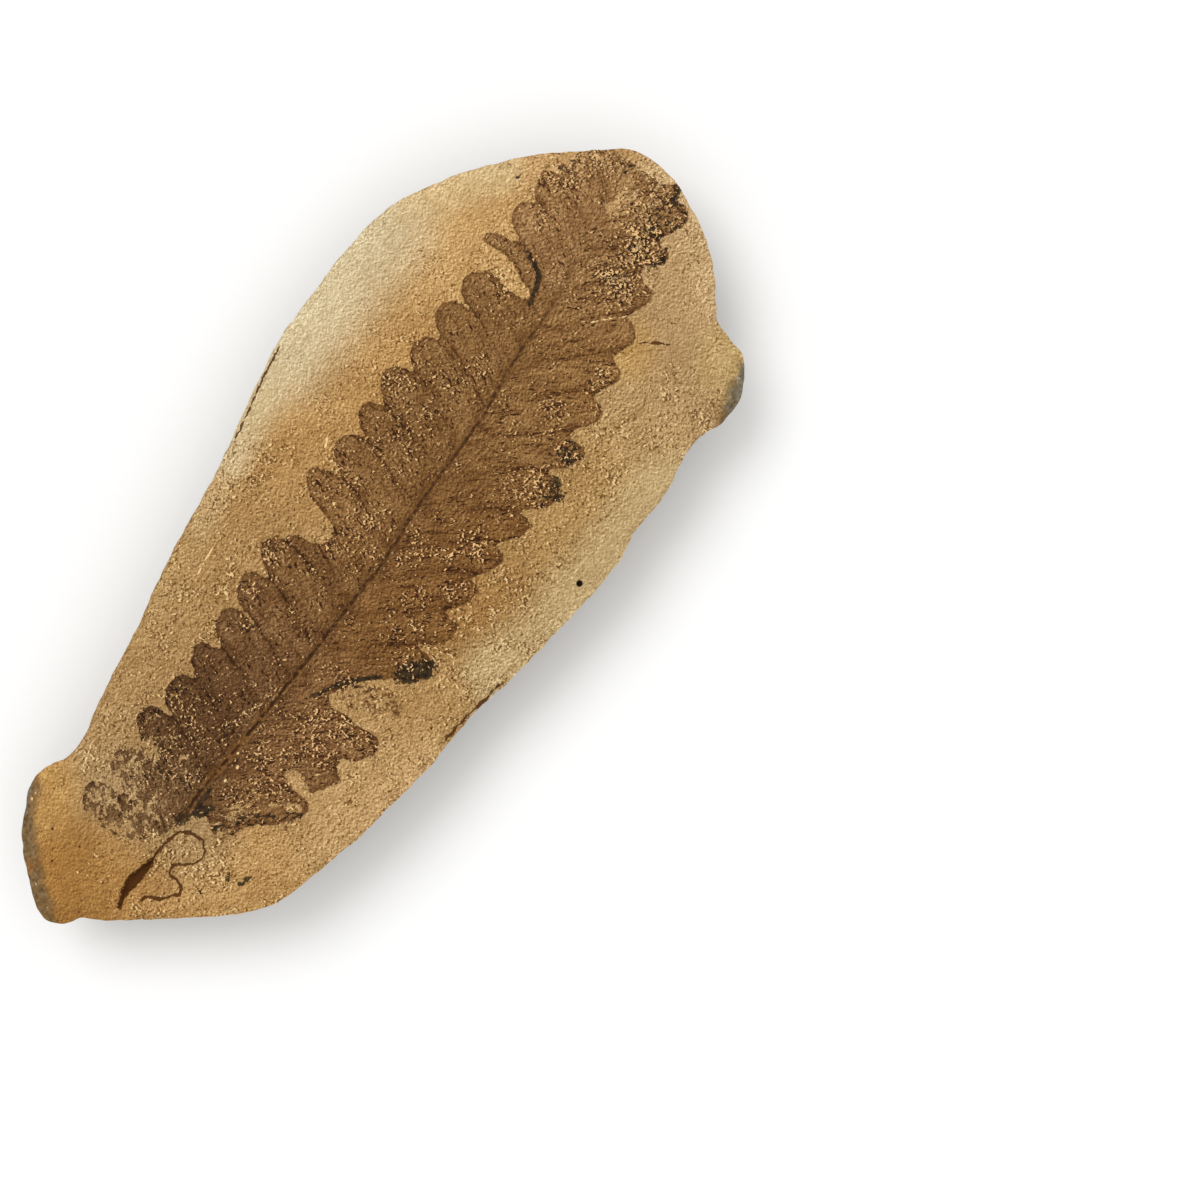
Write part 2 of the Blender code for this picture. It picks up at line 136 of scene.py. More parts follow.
# The edge of the leaf film: the upper row from left to right, then the lower row back again
FILM_OUTLINE = [
    (-43.2, -0.6), (-45.2, 0.9), (-46.6, 2.9), (-47.2, 5.6), (-46.9, 9), (-45.6, 10.3),
    (-44.2, 10.9), (-42.9, 10), (-42.4, 7.6), (-41.6, 8.4), (-40.8, 9.7), (-39, 10.4),
    (-37.6, 10.2), (-36.6, 8.2), (-35.4, 9.2), (-34.2, 10.6), (-33, 11), (-31.6, 10.5), (-31, 9.2),
    (-31, 7.6), (-30.4, 8.6), (-29.7, 9.6), (-28.4, 10.2), (-26.9, 10.2), (-25.7, 9.3), (-25.4, 8),
    (-24.7, 8.9), (-23.8, 9.8), (-22.4, 10.5), (-21.3, 10.1), (-20.9, 9), (-20.5, 7.9),
    (-19.8, 8.4), (-19.1, 9.5), (-17.9, 10.3), (-16.3, 10.3), (-15.3, 9.2), (-15.3, 7.6),
    (-15.8, 6), (-15.1, 7.2), (-14.8, 8.8), (-14, 10.1), (-12.7, 10.9), (-11.1, 10.9), (-10.2, 10),
    (-10, 8.3), (-9.3, 8.9), (-8.7, 10.1), (-7.8, 11), (-6.8, 11.5), (-5.6, 10.9), (-4.9, 9.8),
    (-4.2, 9.4), (-3.4, 8.8), (-3.2, 7.4), (-2.8, 6.1), (-2.2, 5.2), (-1, 4.9), (0, 5.4),
    (0.5, 6.7), (1, 8.7), (1.4, 10.3), (2.4, 11.4), (3.8, 12.4), (5, 11.6), (5.4, 10.2), (5.7, 8.6),
    (6.4, 9.6), (7.3, 11), (8.6, 11.8), (10.1, 11.4), (11, 10.5), (11.5, 9.4), (12.2, 10.6),
    (13.2, 11.5), (14.6, 11.9), (15.6, 11.1), (16.1, 9.7), (16.9, 10.7), (18, 11.8), (19.2, 12.2),
    (20.5, 11.9), (21.4, 10.6), (21.8, 9.2), (22.3, 10.3), (23.4, 11.2), (24.9, 11.3), (26.2, 10.6),
    (26.9, 9.2), (27.7, 10.2), (28.9, 11.3), (30.3, 11.6), (31.5, 10.9), (32.1, 9.6), (32.1, 8.3),
    (32.7, 10), (33.8, 11), (35.2, 11.3), (36.5, 10.4), (37.4, 8.8), (37.1, 7), (37, 5),
    (37.4, 3.2), (38.4, 3.8), (39, 5.6), (39.8, 7), (40.2, 9.2), (40, 10.9), (40, 12.1),
    (40.9, 12.5), (41.6, 11.8), (42.1, 10.2), (42.5, 8.7), (43.2, 9.4), (43.9, 10.7), (45.4, 11.5),
    (46.8, 11.2), (47.9, 9.9), (48.9, 10.9), (50.4, 11.2), (51.7, 11.5), (52.3, 10.4), (53.8, 10.2),
    (55, 9.2), (56.2, 9.7), (57.6, 8.2), (59.1, 6.1), (58.9, 4.4), (59.1, 2.6), (59.1, 0),
    (59.3, -1.7), (60.3, -2.6), (60.2, -3.5), (58.4, -3.8), (58.5, -5.2), (57.9, -6.5),
    (56.2, -6.5), (54.6, -5.8), (53.2, -5.4), (52.8, -7), (52, -7.6), (50.5, -7.1), (49.5, -5.8),
    (48, -6.8), (47.6, -8.5), (46.6, -9.1), (45, -8.6), (43.1, -7.9), (42.9, -9.2), (41.8, -10.4),
    (40.2, -10.2), (38, -9.6), (37.5, -11.1), (36.3, -11.8), (34.6, -11.2), (32.8, -10.5),
    (32.4, -12), (31.2, -12.8), (29.4, -12.3), (27.1, -10.9), (27, -12.8), (26.1, -14),
    (24.6, -13.7), (23, -12.6), (21.7, -11.6), (21.4, -13.3), (20.2, -14.5), (18.8, -14.5),
    (17.2, -13.4), (15.8, -11.9), (15.6, -13.3), (14.6, -14.1), (12.9, -13.5), (10.5, -12.1),
    (10.2, -13.5), (9, -13.8), (7.3, -13.2), (5.3, -12), (5, -13.5), (3.9, -13.8), (2, -13.3),
    (0, -12), (-0.2, -13.9), (-1.5, -14.5), (-3.2, -14), (-4.6, -12.7), (-5.4, -11.7),
    (-5.6, -13.6), (-6.4, -14.8), (-7.6, -15.1), (-9, -14.1), (-10.6, -11.8), (-12.2, -9.8),
    (-14.4, -8), (-17, -6.7), (-18, -8.2), (-17.7, -10), (-18, -11.6), (-17.6, -13.6), (-18, -15.2),
    (-19.6, -15.5), (-21.6, -14.2), (-22.7, -12.5), (-24.1, -13.3), (-24.8, -14.2), (-26.2, -13.4),
    (-28, -12.2), (-28.1, -11.3), (-27.1, -10.4), (-27.1, -9), (-28, -8), (-28.9, -9.4),
    (-29.2, -11.4), (-29.3, -12.8), (-30.5, -13.2), (-32.4, -12.3), (-34.4, -10.5), (-36.2, -8.4),
    (-37.9, -7.6), (-39.5, -7.7), (-39.6, -5.8), (-39, -4.4), (-38.2, -3), (-39.6, -1.6),
    (-41.2, -1.2),
]
FILM_HOLES = [(0.55, [(-31.2, -10.9), (-30.7, -12)]), (0.45, [(-35.9, 8.2), (-35.6, 6.8)])]
GHOST_LEAFLET = (1.6, [(-15.2, -9.0), (-14.0, -11.8), (-13.4, -13.6)])
GHOST_THINNESS = -0.02

# The slot along the rachis's line, as (x, y, half width), and its depth
SLOT = [
    (-45.8, -1.2, 0.06), (-46.6, -1.35, 0.28), (-47.6, -1.35, 0.46), (-48.8, -1.15, 0.7),
    (-50.2, -0.98, 0.78), (-51.4, -0.98, 0.66), (-52.4, -1.1, 0.46), (-53.2, -1.3, 0.4),
    (-54, -1.5, 0.32),
]
SLOT_DEPTH = 1.1
SLOT_WALL = (-0.1, 0.45)
# Cracks: (half width, points)
CRACKS = [
    (0.1, [(-45.8, -1.3), (-44, -1.5), (-42.2, -1.8), (-41.3, -3), (-40.9, -5)]),
    (0.07, [(-40.9, -5), (-42, -6), (-43.5, -6.1), (-44.9, -4.9), (-45.7, -3.7), (-46.8, -4.1)]),
    (0.1, [(-46.8, -4.1), (-47, -5.6), (-47.9, -6.6), (-49, -6.1), (-50.2, -5), (-50.7, -3.9),
        (-51.6, -3.3)]),
    (0.05, [(41.5, -11), (42.6, -12.4), (43.5, -14)]),
    # This line along the lower rim is a dark recess: its dark colour is painted shadow.
    (0.09, [(-12.8, -21.6), (-9, -21.9), (-5.6, -22.5), (-3.2, -22.9)]),
    (0.04, [(1.8, 22.2), (6, 23.2), (10, 24.1), (13.6, 24.7)]),
]
CRACK_DEPTH = 0.16
CRACK_WALL = 0.1
FINEST_CRACK = 0.06  # half width of the finest crack that is relief too
# Pale scratches and ridges: (half width, points)
SCRATCHES = [
    (0.16, [(7.4, 12.4), (8.7, 13)]), (0.12, [(-15, 15.6), (-12.4, 16), (-10, 16.2)]),
    (0.12, [(-8, -16.6), (-6.9, -16.6)]), (0.12, [(-4.5, -16.7), (-3.8, -15.8)]),
    (0.1, [(0, -16), (1.4, -16.1)]), (0.1, [(40, -4.8), (41.6, -6.2), (43.2, -7.8)]),
    (0.05, [(-26.4, 0.2), (-25.8, 0.8), (-25, 0.3), (-25.2, -0.6), (-26.1, -0.7), (-26.4, 0.2)]),
    (0.1, [(-24.5, 0.3), (-23.2, -0.5), (-22, -0.7)]),
    (0.09, [(-43.8, 12.4), (-41.6, 12.9), (-40, 13.5), (-38.2, 13.8)]),
    (0.1, [(-12.9, 9.4), (-11, 9.2)]), (0.1, [(19, 11.2), (20.4, 10.4)]),
]
# Small round holes: (x, y, radius)
PITS = [
    (13, -23.2, 0.45), (10.7, -16.2, 0.2), (3.9, -19, 0.17), (-12.7, -19.3, 0.17),
    (2.2, -20.6, 0.15), (34.4, 23.5, 0.2), (48.9, 13.6, 0.26), (-5, -21.6, 0.18),
    (49.4, 13.5, 0.16), (47.8, 12.8, 0.14), (36.6, 14.8, 0.14), (-54.5, 8.6, 0.2),
    (-51.2, 11, 0.18), (-50.9, 7, 0.15), (-51.8, 5, 0.12),
]
# Small round grains: (x, y, radius)
GRAINS = [
    (-9.2, 0.7, 0.22), (2.5, 7.3, 0.24), (20.7, -6.4, 0.18), (22.2, 2.3, 0.18), (52.5, 10, 0.22),
    (33.6, 13.2, 0.15), (-33.3, -2.7, 0.24), (-31, -2.9, 0.26), (-29.6, -1.9, 0.22),
    (-53.6, 5.2, 0.16), (-58.2, 8.6, 0.18), (-57, 11.2, 0.16), (-59.6, 5.6, 0.14),
    (-50, 15.4, 0.24), (-49.2, 15.6, 0.2),
]

PIT_DEPTH = 0.5
PIT_WALL = (-0.15, 0.3)
CHIP_SPAN = (0.05, 0.4)
CHIP_DEPTH = 0.45
CHIP_WIDTH = 0.5
RIM_INSET = 0.12

# Ripples: (height, wavelength, seed)
FROND_RIPPLES = [(0.1, 1.6, 1), (0.1, 1.6, 2)]
SLOT_RIPPLES = [(0.16, 0.9, 3)]
FACE_RIPPLES = [(0.05, 3.1, 5), (0.03, 1.1, 6)]
CHIP_RIPPLES = [(1.0, 3.4, 7)]
CRACK_RIPPLES = [(0.22, 0.9, 8), (0.22, 0.9, 9)]
RIM_RIPPLES = [(0.14, 1.3, 11), (0.16, 4.5, 12)]
SEED_SPACING = 7.3  # between the noises with different seeds, in wavelengths

# Steps between the points of a curve
RIM_STEPS = 8
INSET_STEPS = 4
CURVE_STEPS = 4
FILM_STEPS = 2

# Mesh density
SIDE_COLUMNS = 420
FACE_ROWS_NEAR_RACHIS = [0.13 * row for row in range(1, 7)]
FACE_ROWS_NEAR_RIM = [1.6, 1.2, 0.85, 0.55, 0.3, 0.12, 0.0]
FACE_ROWS_BETWEEN = 75
WALL_ROWS = 20
BASE_ROWS = 6
FACE_AXIS_REACH = 44.0

# The texture map: the face above and the unrolled back below it
MAP_CORNER = (-61.5, -26.0)
MAP_WIDTH = 123.0
FACE_MAP_FOOT = 0.55
BACK_MAP_FOOT = 0.06

# What the fields hold on the back, which is all weathered skin. The rest go on from the rim.
NO_CRACK = (99.0, 99.0, 0.0)  # signed distance, distance and half width
BARE = -9.0
BACK_FIELDS = {
    "film": BARE, "crease": 9.0, "rachis": 9.0, "rachis_dark": 0.0, "rachis_highlight": 0.0,
    "loss": 0.0, "glint": 0.0, "carbon": 0.0, "smooth": 0.0, "slot": BARE, "pits": BARE,
    "pale": BARE, "cracks": NO_CRACK, "skin": 3.0, "crust": 1.0,
}


# -------------------- curves and distances


def smooth_curve(points, steps, closed):
    """Samples of a smooth curve through the points, with `steps` samples on each span."""
    knots = [Vector(point) for point in points]
    last = len(knots) - 1
    samples = []
    for i in range(last + closed):
        start = knots[i]
        end = knots[(i + 1) % len(knots)]
        before = knots[i - 1] if i or closed else start
        after = knots[(i + 2) % len(knots)] if i + 1 < last or closed else end
        reach = (end - start).length / 3
        start_handle = start + (end - before).normalized() * reach
        end_handle = end - (after - start).normalized() * reach
        samples += interpolate_bezier(start, start_handle, end_handle, end, steps + 1)[:-1]
    if not closed:
        samples.append(knots[-1])
    return np.array([tuple(sample) for sample in samples])


def evenly_spaced(path, count):
    """`count` + 1 points at equal distances along the path."""
    lengths = np.linalg.norm(np.diff(path, axis=0), axis=1)
    travelled = np.concatenate([[0.0], np.cumsum(lengths)])
    stops = np.linspace(0.0, travelled[-1], count + 1)
    return np.stack([np.interp(stops, travelled, path[:, k]) for k in range(path.shape[1])], axis=1)


def path_fields(x, y, path):
    """Distance from each point to the path, the same distance signed by side, and where along."""
    path = np.asarray(path, float)
    if len(path) == 1:
        distance = np.hypot(x - path[0, 0], y - path[0, 1])
        return distance, distance, np.zeros_like(x)
    nearest = np.full(x.shape, np.inf)
    signed = np.zeros_like(x)
    along = np.zeros_like(x)
    for i, (start, end) in enumerate(zip(path, path[1:])):
        side_x, side_y = end - start
        length_squared = side_x**2 + side_y**2
        share = ((x - start[0]) * side_x + (y - start[1]) * side_y) / length_squared
        share = np.clip(share, 0.0, 1.0)
        off_x = x - start[0] - side_x * share
        off_y = y - start[1] - side_y * share
        distance = np.hypot(off_x, off_y)
        closer = distance < nearest
        nearest = np.where(closer, distance, nearest)
        turned = np.sign(side_x * off_y - side_y * off_x)
        signed = np.where(closer, turned * distance, signed)
        along = np.where(closer, (i + share) / (len(path) - 1), along)
    return nearest, signed, along


def fading(distance, reach):
    """1 at no distance, fading to nothing at about twice the reach."""
    return np.exp(-((distance / reach) ** 2))


def near(x, y, path, reach):
    """1 on the path, fading to nothing at about twice the reach from it."""
    return fading(path_fields(x, y, path)[0], reach)


def smoothstep(low, high, values):
    share = np.clip((values - low) / (high - low), 0.0, 1.0)
    return share * share * (3.0 - 2.0 * share)


def rough(x, y, wavelength, seed):
    """Soft noise between about -1 and 1 with this wavelength."""
    height = SEED_SPACING * seed
    spots = zip(x.ravel() / wavelength, y.ravel() / wavelength)
    values = [noise.noise(Vector((*spot, height))) for spot in spots]
    return np.array(values).reshape(x.shape)


def ripple(x, y, waves):
    """The sum of noises, which are (height, wavelength, seed)."""
    return sum(height * rough(x, y, wavelength, seed) for height, wavelength, seed in waves)


# -------------------- the stone's shape


def swell(x, y, waves):
    return sum(size * np.sin(kx * x + ky * y + phase) for size, kx, ky, phase in waves)


def rim_slope(x, y, inset):
    """How far the worn rim lies below the face, at a distance `inset` from the rim."""
    depth, width = RIM_WEAR
    drop = depth * fading(inset, width)
    for worn_x, worn_y, reach, depth, width in WORN_RIMS:
        spread = near(x, y, [(worn_x, worn_y)], reach)
        drop = drop + spread * depth * fading(inset, width)
    return drop


def face_height(x, y, inset):
    rise = 1.0 - (1.0 - np.minimum(inset / CROWN_REACH, 1.0)) ** 2
    return RIM_HEIGHT + CROWN_RISE * rise + swell(x, y, FACE_SWELLS) - rim_slope(x, y, inset)


def ring_order(upper, lower):
    """One closed ring from the upper side, nose to tip, and the lower side, nose to tip."""
    return np.concatenate([upper, lower[-2:0:-1]])


def rim_ring():
    """The outline as a closed ring, with the same number of points on each side of the frond."""
    outline = smooth_curve(OUTLINE, RIM_STEPS, True)
    tip = OUTLINE_TIP * RIM_STEPS
    upper = evenly_spaced(outline[: tip + 1], SIDE_COLUMNS)
    lower_path = np.concatenate([outline[tip:], outline[:1]])[::-1]
    return ring_order(upper, evenly_spaced(lower_path, SIDE_COLUMNS))


def outward(ring):
    """The outward direction at each point of a ring that runs clockwise."""
    ahead = np.roll(ring, -1, axis=0) - np.roll(ring, 1, axis=0)
    ahead /= np.linalg.norm(ahead, axis=1)[:, None]
    return np.stack([-ahead[:, 1], ahead[:, 0]], axis=1)


def evened(ring, reach):
    """The ring with bumps shorter than `reach` smoothed away."""
    steps = np.linalg.norm(np.roll(ring, -1, axis=0) - ring, axis=1)
    spread = reach / steps.mean()
    frequency = np.fft.fftfreq(len(ring))
    keep = np.exp(-2.0 * (math.pi * frequency * spread) ** 2)
    smooth = [np.fft.ifft(np.fft.fft(ring[:, k]) * keep).real for k in range(2)]
    return np.stack(smooth, axis=1)


def rachis_height(x):
    curve = smooth_curve(RACHIS, CURVE_STEPS, False)
    return np.interp(x, curve[:, 0], curve[:, 1])


def face_grid(rim):
    """x and y of the face's rows: the first is on the rachis, and the last is the rim."""
    axis_x = ring_order(*[np.linspace(-FACE_AXIS_REACH, FACE_AXIS_REACH, SIDE_COLUMNS + 1)] * 2)
    axis = np.stack([axis_x, rachis_height(axis_x)], axis=1)
    reach = np.linalg.norm(rim - axis, axis=1)
    first = FACE_ROWS_NEAR_RACHIS[-1]
    last = FACE_ROWS_NEAR_RIM[0]
    rows = [np.zeros_like(reach)]
    rows += [np.full_like(reach, distance) for distance in FACE_ROWS_NEAR_RACHIS]
    for step in range(1, FACE_ROWS_BETWEEN + 1):
        rows.append(first + (reach - last - first) * step / (FACE_ROWS_BETWEEN + 1))
    rows += [reach - distance for distance in FACE_ROWS_NEAR_RIM]
    shares = np.array(rows) / reach
    grid = axis[None] + (rim - axis)[None] * shares[:, :, None]
    return grid[:, :, 0], grid[:, :, 1]


def back_grid(rim, rim_z):
    """x, y and z of the back's rows, from just under the rim to the middle of the flat base."""
    even = evened(rim, BACK_ROUNDING)
    turn = np.linspace(0.0, math.pi / 2, WALL_ROWS + 1)[1:, None]
    outer_x, outer_y = [rim[:, k] + (even[:, k] - rim[:, k]) * np.sin(turn) for k in range(2)]
    share = BASE_SHARE + (1.0 - BASE_SHARE) * np.cos(turn) ** BACK_TAPER
    x = outer_x * (BACK_AXIS_SHARE + (1.0 - BACK_AXIS_SHARE) * share)
    y = outer_y * share
    z = rim_z * (1.0 - np.sin(turn)) + np.sin(2.0 * turn) ** 2 * swell(x, y, BACK_SWELLS)
    z = np.maximum(z, 0.0)
    z[-1] = 0.0
    middle_x = even[:, 0] * BACK_AXIS_SHARE
    middle_x = (middle_x + ring_mirror(middle_x)) / 2
    share = np.linspace(0.0, 1.0, BASE_ROWS + 1)[1:, None]
    base_x = x[-1] + (middle_x - x[-1]) * share
    base_y = y[-1] * (1.0 - share)
    pairs = [(x, base_x), (y, base_y), (z, np.zeros_like(base_x))]
    return [np.concatenate(pair) for pair in pairs]


def ring_mirror(values):
    """The values of the points across the axis."""
    count = len(values)
    return values[(-np.arange(count)) % count]


# -------------------- the frond


def leaflet_axis(tip_x, tip_y, half_width, lean):
    """The leaflet's middle line, from its foot on the rachis to the centre of its round tip."""
    foot_lean, middle_lean = lean
    side = math.copysign(1.0, tip_y)
    foot = np.array([tip_x - foot_lean, rachis_height(tip_x - foot_lean)])
    middle = np.array([tip_x - middle_lean, (foot[1] + tip_y) / 2])
    end = np.array([tip_x, tip_y - side * half_width])
    t = np.linspace(0.0, 1.0, LEAFLET_STEPS + 1)[:, None]
    return foot * (1 - t) ** 2 + middle * 2 * t * (1 - t) + end * t**2


def all_leaflets():
    """The axis, half width and share of the relief of each leaflet."""
    for leaflets, lean in LEAFLET_ROWS:
        for tip_x, tip_y, half_width, share in leaflets:
            yield leaflet_axis(tip_x, tip_y, half_width, lean), half_width, share


def depth_inside(x, y, outline):
    """Distance inside a closed outline, and less than 0 outside it."""
    closed = np.concatenate([outline, outline[:1]])
    within = np.zeros(x.shape, bool)
    for (x0, y0), (x1, y1) in zip(closed, closed[1:]):
        if y0 == y1:
            continue
        crossing_x = x0 + (y - y0) * (x1 - x0) / (y1 - y0)
        within ^= ((y0 > y) != (y1 > y)) & (x < crossing_x)
    return np.where(within, 1.0, -1.0) * path_fields(x, y, closed)[0]


def film_depth(x, y):
    """How far each point lies inside the leaf film's edge."""
    depth = depth_inside(x, y, smooth_curve(FILM_OUTLINE, FILM_STEPS, True))
    for radius, points in FILM_HOLES:
        depth = np.minimum(depth, path_fields(x, y, points)[0] - radius)
    radius, points = GHOST_LEAFLET
    ghost = np.minimum(radius - path_fields(x, y, points)[0], GHOST_THINNESS)
    return np.maximum(depth, ghost)


def frond_fields(x, y):
    """Distance inside the frond's edge, distance from a crease, and the leaflets' relief."""
    wavy_x = x + ripple(x, y, FROND_RIPPLES[:1])
    wavy_y = y + ripple(x, y, FROND_RIPPLES[1:])
    inside = np.full(x.shape, FAR_OUTSIDE)
    second = inside
    relief = np.zeros_like(x)
    for axis, half_width, share in all_leaflets():
        distance, _, along = path_fields(wavy_x, wavy_y, axis)
        depth = half_width - distance
        second = np.maximum(second, np.minimum(inside, depth))
        inside = np.maximum(inside, depth)
        grown = FOOT_RELIEF + (1.0 - FOOT_RELIEF) * np.minimum(along / FOOT_LENGTH, 1.0)
        dome = np.clip(1.0 - (distance / half_width) ** 2, 0.0, 1.0)
        relief = np.maximum(relief, LEAFLET_RELIEF * share * grown * dome)
    film = film_depth(wavy_x, wavy_y)
    separate = smoothstep(*BLADE, np.abs(y - rachis_height(x)))
    blade = BLADE_RELIEF * smoothstep(*BLADE_SLOPE, film)
    relief *= JOINED_SHARE + (1.0 - JOINED_SHARE) * separate
    relief = np.maximum(relief, blade * (1.0 - BLADE_FADE * separate))
    relief *= smoothstep(*LEAFLET_SLOPE, film)
    relief += LEAFLET_MARGIN * smoothstep(*MARGIN_SLOPE, film)
    return film, (inside - second) / 2 + CREASE_FADE * (1.0 - separate), relief


def leaf_grain(x, y):
    """Coordinates that run across and along the leaflets, on each side of the rachis."""
    height = y - rachis_height(x)
    upper = height > 0.0
    width = np.where(upper, *FROND_WIDTHS)
    t = np.clip(np.abs(height) / width, 0.0, GRAIN_REACH)
    foot_lean = np.where(upper, UPPER_LEAN[0], LOWER_LEAN[0])
    middle_lean = np.where(upper, UPPER_LEAN[1], LOWER_LEAN[1])
    across = x + foot_lean * (1 - t) ** 2 + middle_lean * 2 * t * (1 - t)
    return np.stack([across, np.abs(height), np.where(upper, 0.0, LOWER_GRAIN_SHIFT)], axis=-1)


# -------------------- what time did to the face

# Soft tones of the bare stone: (points, reach, colour, strength)
STONE_TONES = [
    ([(-20, 14.5), (-5, 16)], 9, (0.42, 0.25, 0.096), 1),
    ([(5, 16.5), (25, 17.5)], 7, (0.49, 0.285, 0.102), 1),
    ([(38, 17.5)], 8, (0.58, 0.36, 0.145), 1),
    ([(-34, 13.5), (-24, 14.5)], 6, (0.426, 0.264, 0.112), 1),
    ([(-55, 7)], 7.5, (0.363, 0.18, 0.045), 1.3),
    ([(-50.5, 13), (-47, 13.6)], 2.6, (0.52, 0.305, 0.102), 1.6),
    ([(-50, 1)], 6, (0.405, 0.215, 0.065), 1),
    ([(-48, -7), (-42, -12)], 6, (0.51, 0.305, 0.115), 1),
    ([(-43, 8), (-42, -4)], 4, (0.43, 0.285, 0.135), 2),
    ([(-30, -17), (-20, -18.5)], 5, (0.512, 0.324, 0.138), 1),
    ([(-12, -18)], 4, (0.468, 0.288, 0.114), 1), ([(5, -18)], 5, (0.375, 0.205, 0.068), 1),
    ([(15, -18.5), (24, -18)], 6, (0.444, 0.27, 0.101), 1),
    ([(33, -17.5)], 5, (0.52, 0.34, 0.155), 1), ([(42, -17)], 5, (0.439, 0.28, 0.13), 1),
    ([(52, -12), (58, -3)], 4, (0.52, 0.338, 0.162), 1), ([(56, 8)], 6, (0.547, 0.339, 0.149), 1),
    ([(40, -11.5)], 2.5, (0.52, 0.32, 0.105), 0.8), ([(46, -21)], 3, (0.56, 0.395, 0.17), 1.4),
]
# Paler bands along the rim, where the stone is leached. On the upper side, whose rim slopes
# towards the light, the paler tone is partly painted light.
RIM_TONES = [
    ([(-24, 16.2), (-14, 18.4)], 1.6, (0.51, 0.335, 0.146), 2),
    ([(-10, 19.2), (-5, 20.4)], 1.6, (0.57, 0.395, 0.194), 3),
    ([(-1, 21.4), (8, 22.8)], 2, (0.665, 0.54, 0.32), 3.5),
    ([(14, 23.6), (34, 23)], 4.2, (0.68, 0.572, 0.362), 3.6),
    ([(38, 22), (48, 17)], 2.2, (0.65, 0.49, 0.26), 2.4),
    ([(0, -23.2), (8, -24.2), (28, -24.6)], 3.2, (0.575, 0.425, 0.215), 4.5),
    ([(52, -15), (58.5, -7), (60.8, 0)], 1.6, (0.64, 0.45, 0.235), 2.4),
    ([(-32, -18.8), (-16, -21.6)], 1.6, (0.59, 0.38, 0.176), 2),
]
# Tones of the leaf film: (points, reach, colour, strength)
FILM_TONES = [
    ([(-43, 6)], 6, (0.155, 0.08, 0.029), 1), ([(-39, 3.5)], 4, (0.17, 0.09, 0.035), 1.3),
    ([(-31, 3.5), (-23, 5)], 6, (0.106, 0.048, 0.015), 1.3),
    ([(-18, 5)], 6, (0.196, 0.096, 0.034), 1), ([(-8, 5)], 6, (0.195, 0.096, 0.031), 1),
    ([(4, 5)], 4, (0.3, 0.156, 0.053), 1.2), ([(8, 5), (14, 5)], 8, (0.218, 0.108, 0.034), 1),
    ([(30, 5.5)], 8, (0.235, 0.118, 0.038), 1), ([(50, 5)], 9, (0.325, 0.176, 0.068), 1),
    ([(-30, -8), (-20, -8)], 6, (0.23, 0.114, 0.04), 1),
    ([(-5, -8), (10, -8)], 7, (0.205, 0.095, 0.026), 1), ([(30, -6)], 9, (0.262, 0.134, 0.043), 1),
    ([(50, -3)], 7, (0.255, 0.132, 0.046), 1),
]
# Where the film has flaked away: (points, reach, amount)
FILM_LOSS = [
    ([(-47.6, 2), (-47.8, 9)], 1.9, 0.85), ([(-44.6, 0.2)], 1.6, 0.8), ([(-44.2, 8.2)], 3, 0.72),
    ([(-41.8, 9.4), (-41.5, 6)], 1.8, 0.85), ([(-45.4, 3.4)], 2.6, 0.7), ([(-39.4, 7.8)], 2.6, 0.6),
    ([(-36.8, 9.6), (-36.2, 6.8)], 1.7, 0.74), ([(-42, 2.8)], 3, 0.6), ([(-33.4, 7.4)], 2.6, 0.4),
    ([(-28.5, 8.4)], 2.2, 0.36), ([(-35, 3.4)], 3.4, 0.36), ([(-38.6, -6.6)], 2, 0.62),
    ([(-36.4, -5.6), (-33, -8)], 2, 0.42), ([(-31.5, -9.4)], 1.6, 0.34), ([(-26, -9.8)], 2, 0.32),
    ([(-20.5, -11)], 2.2, 0.26), ([(-28.4, -9), (-27.8, -11)], 0.9, 0.75),
    ([(52.9, 1.5), (56, 0.9)], 1, 1), ([(54.6, 8)], 2.6, 0.42), ([(57.6, 6.6)], 1.6, 0.62),
    ([(57.2, 3.6)], 2, 0.52), ([(59.4, 5), (59.5, -1)], 1.3, 0.5),
    ([(53, 10), (56.4, 9.4)], 1.5, 0.55), ([(50.5, -3), (56.5, -1.6)], 2.4, 0.34),
    ([(46, -3.2)], 3, 0.28), ([(42.3, -7)], 0.5, 0.75),
]
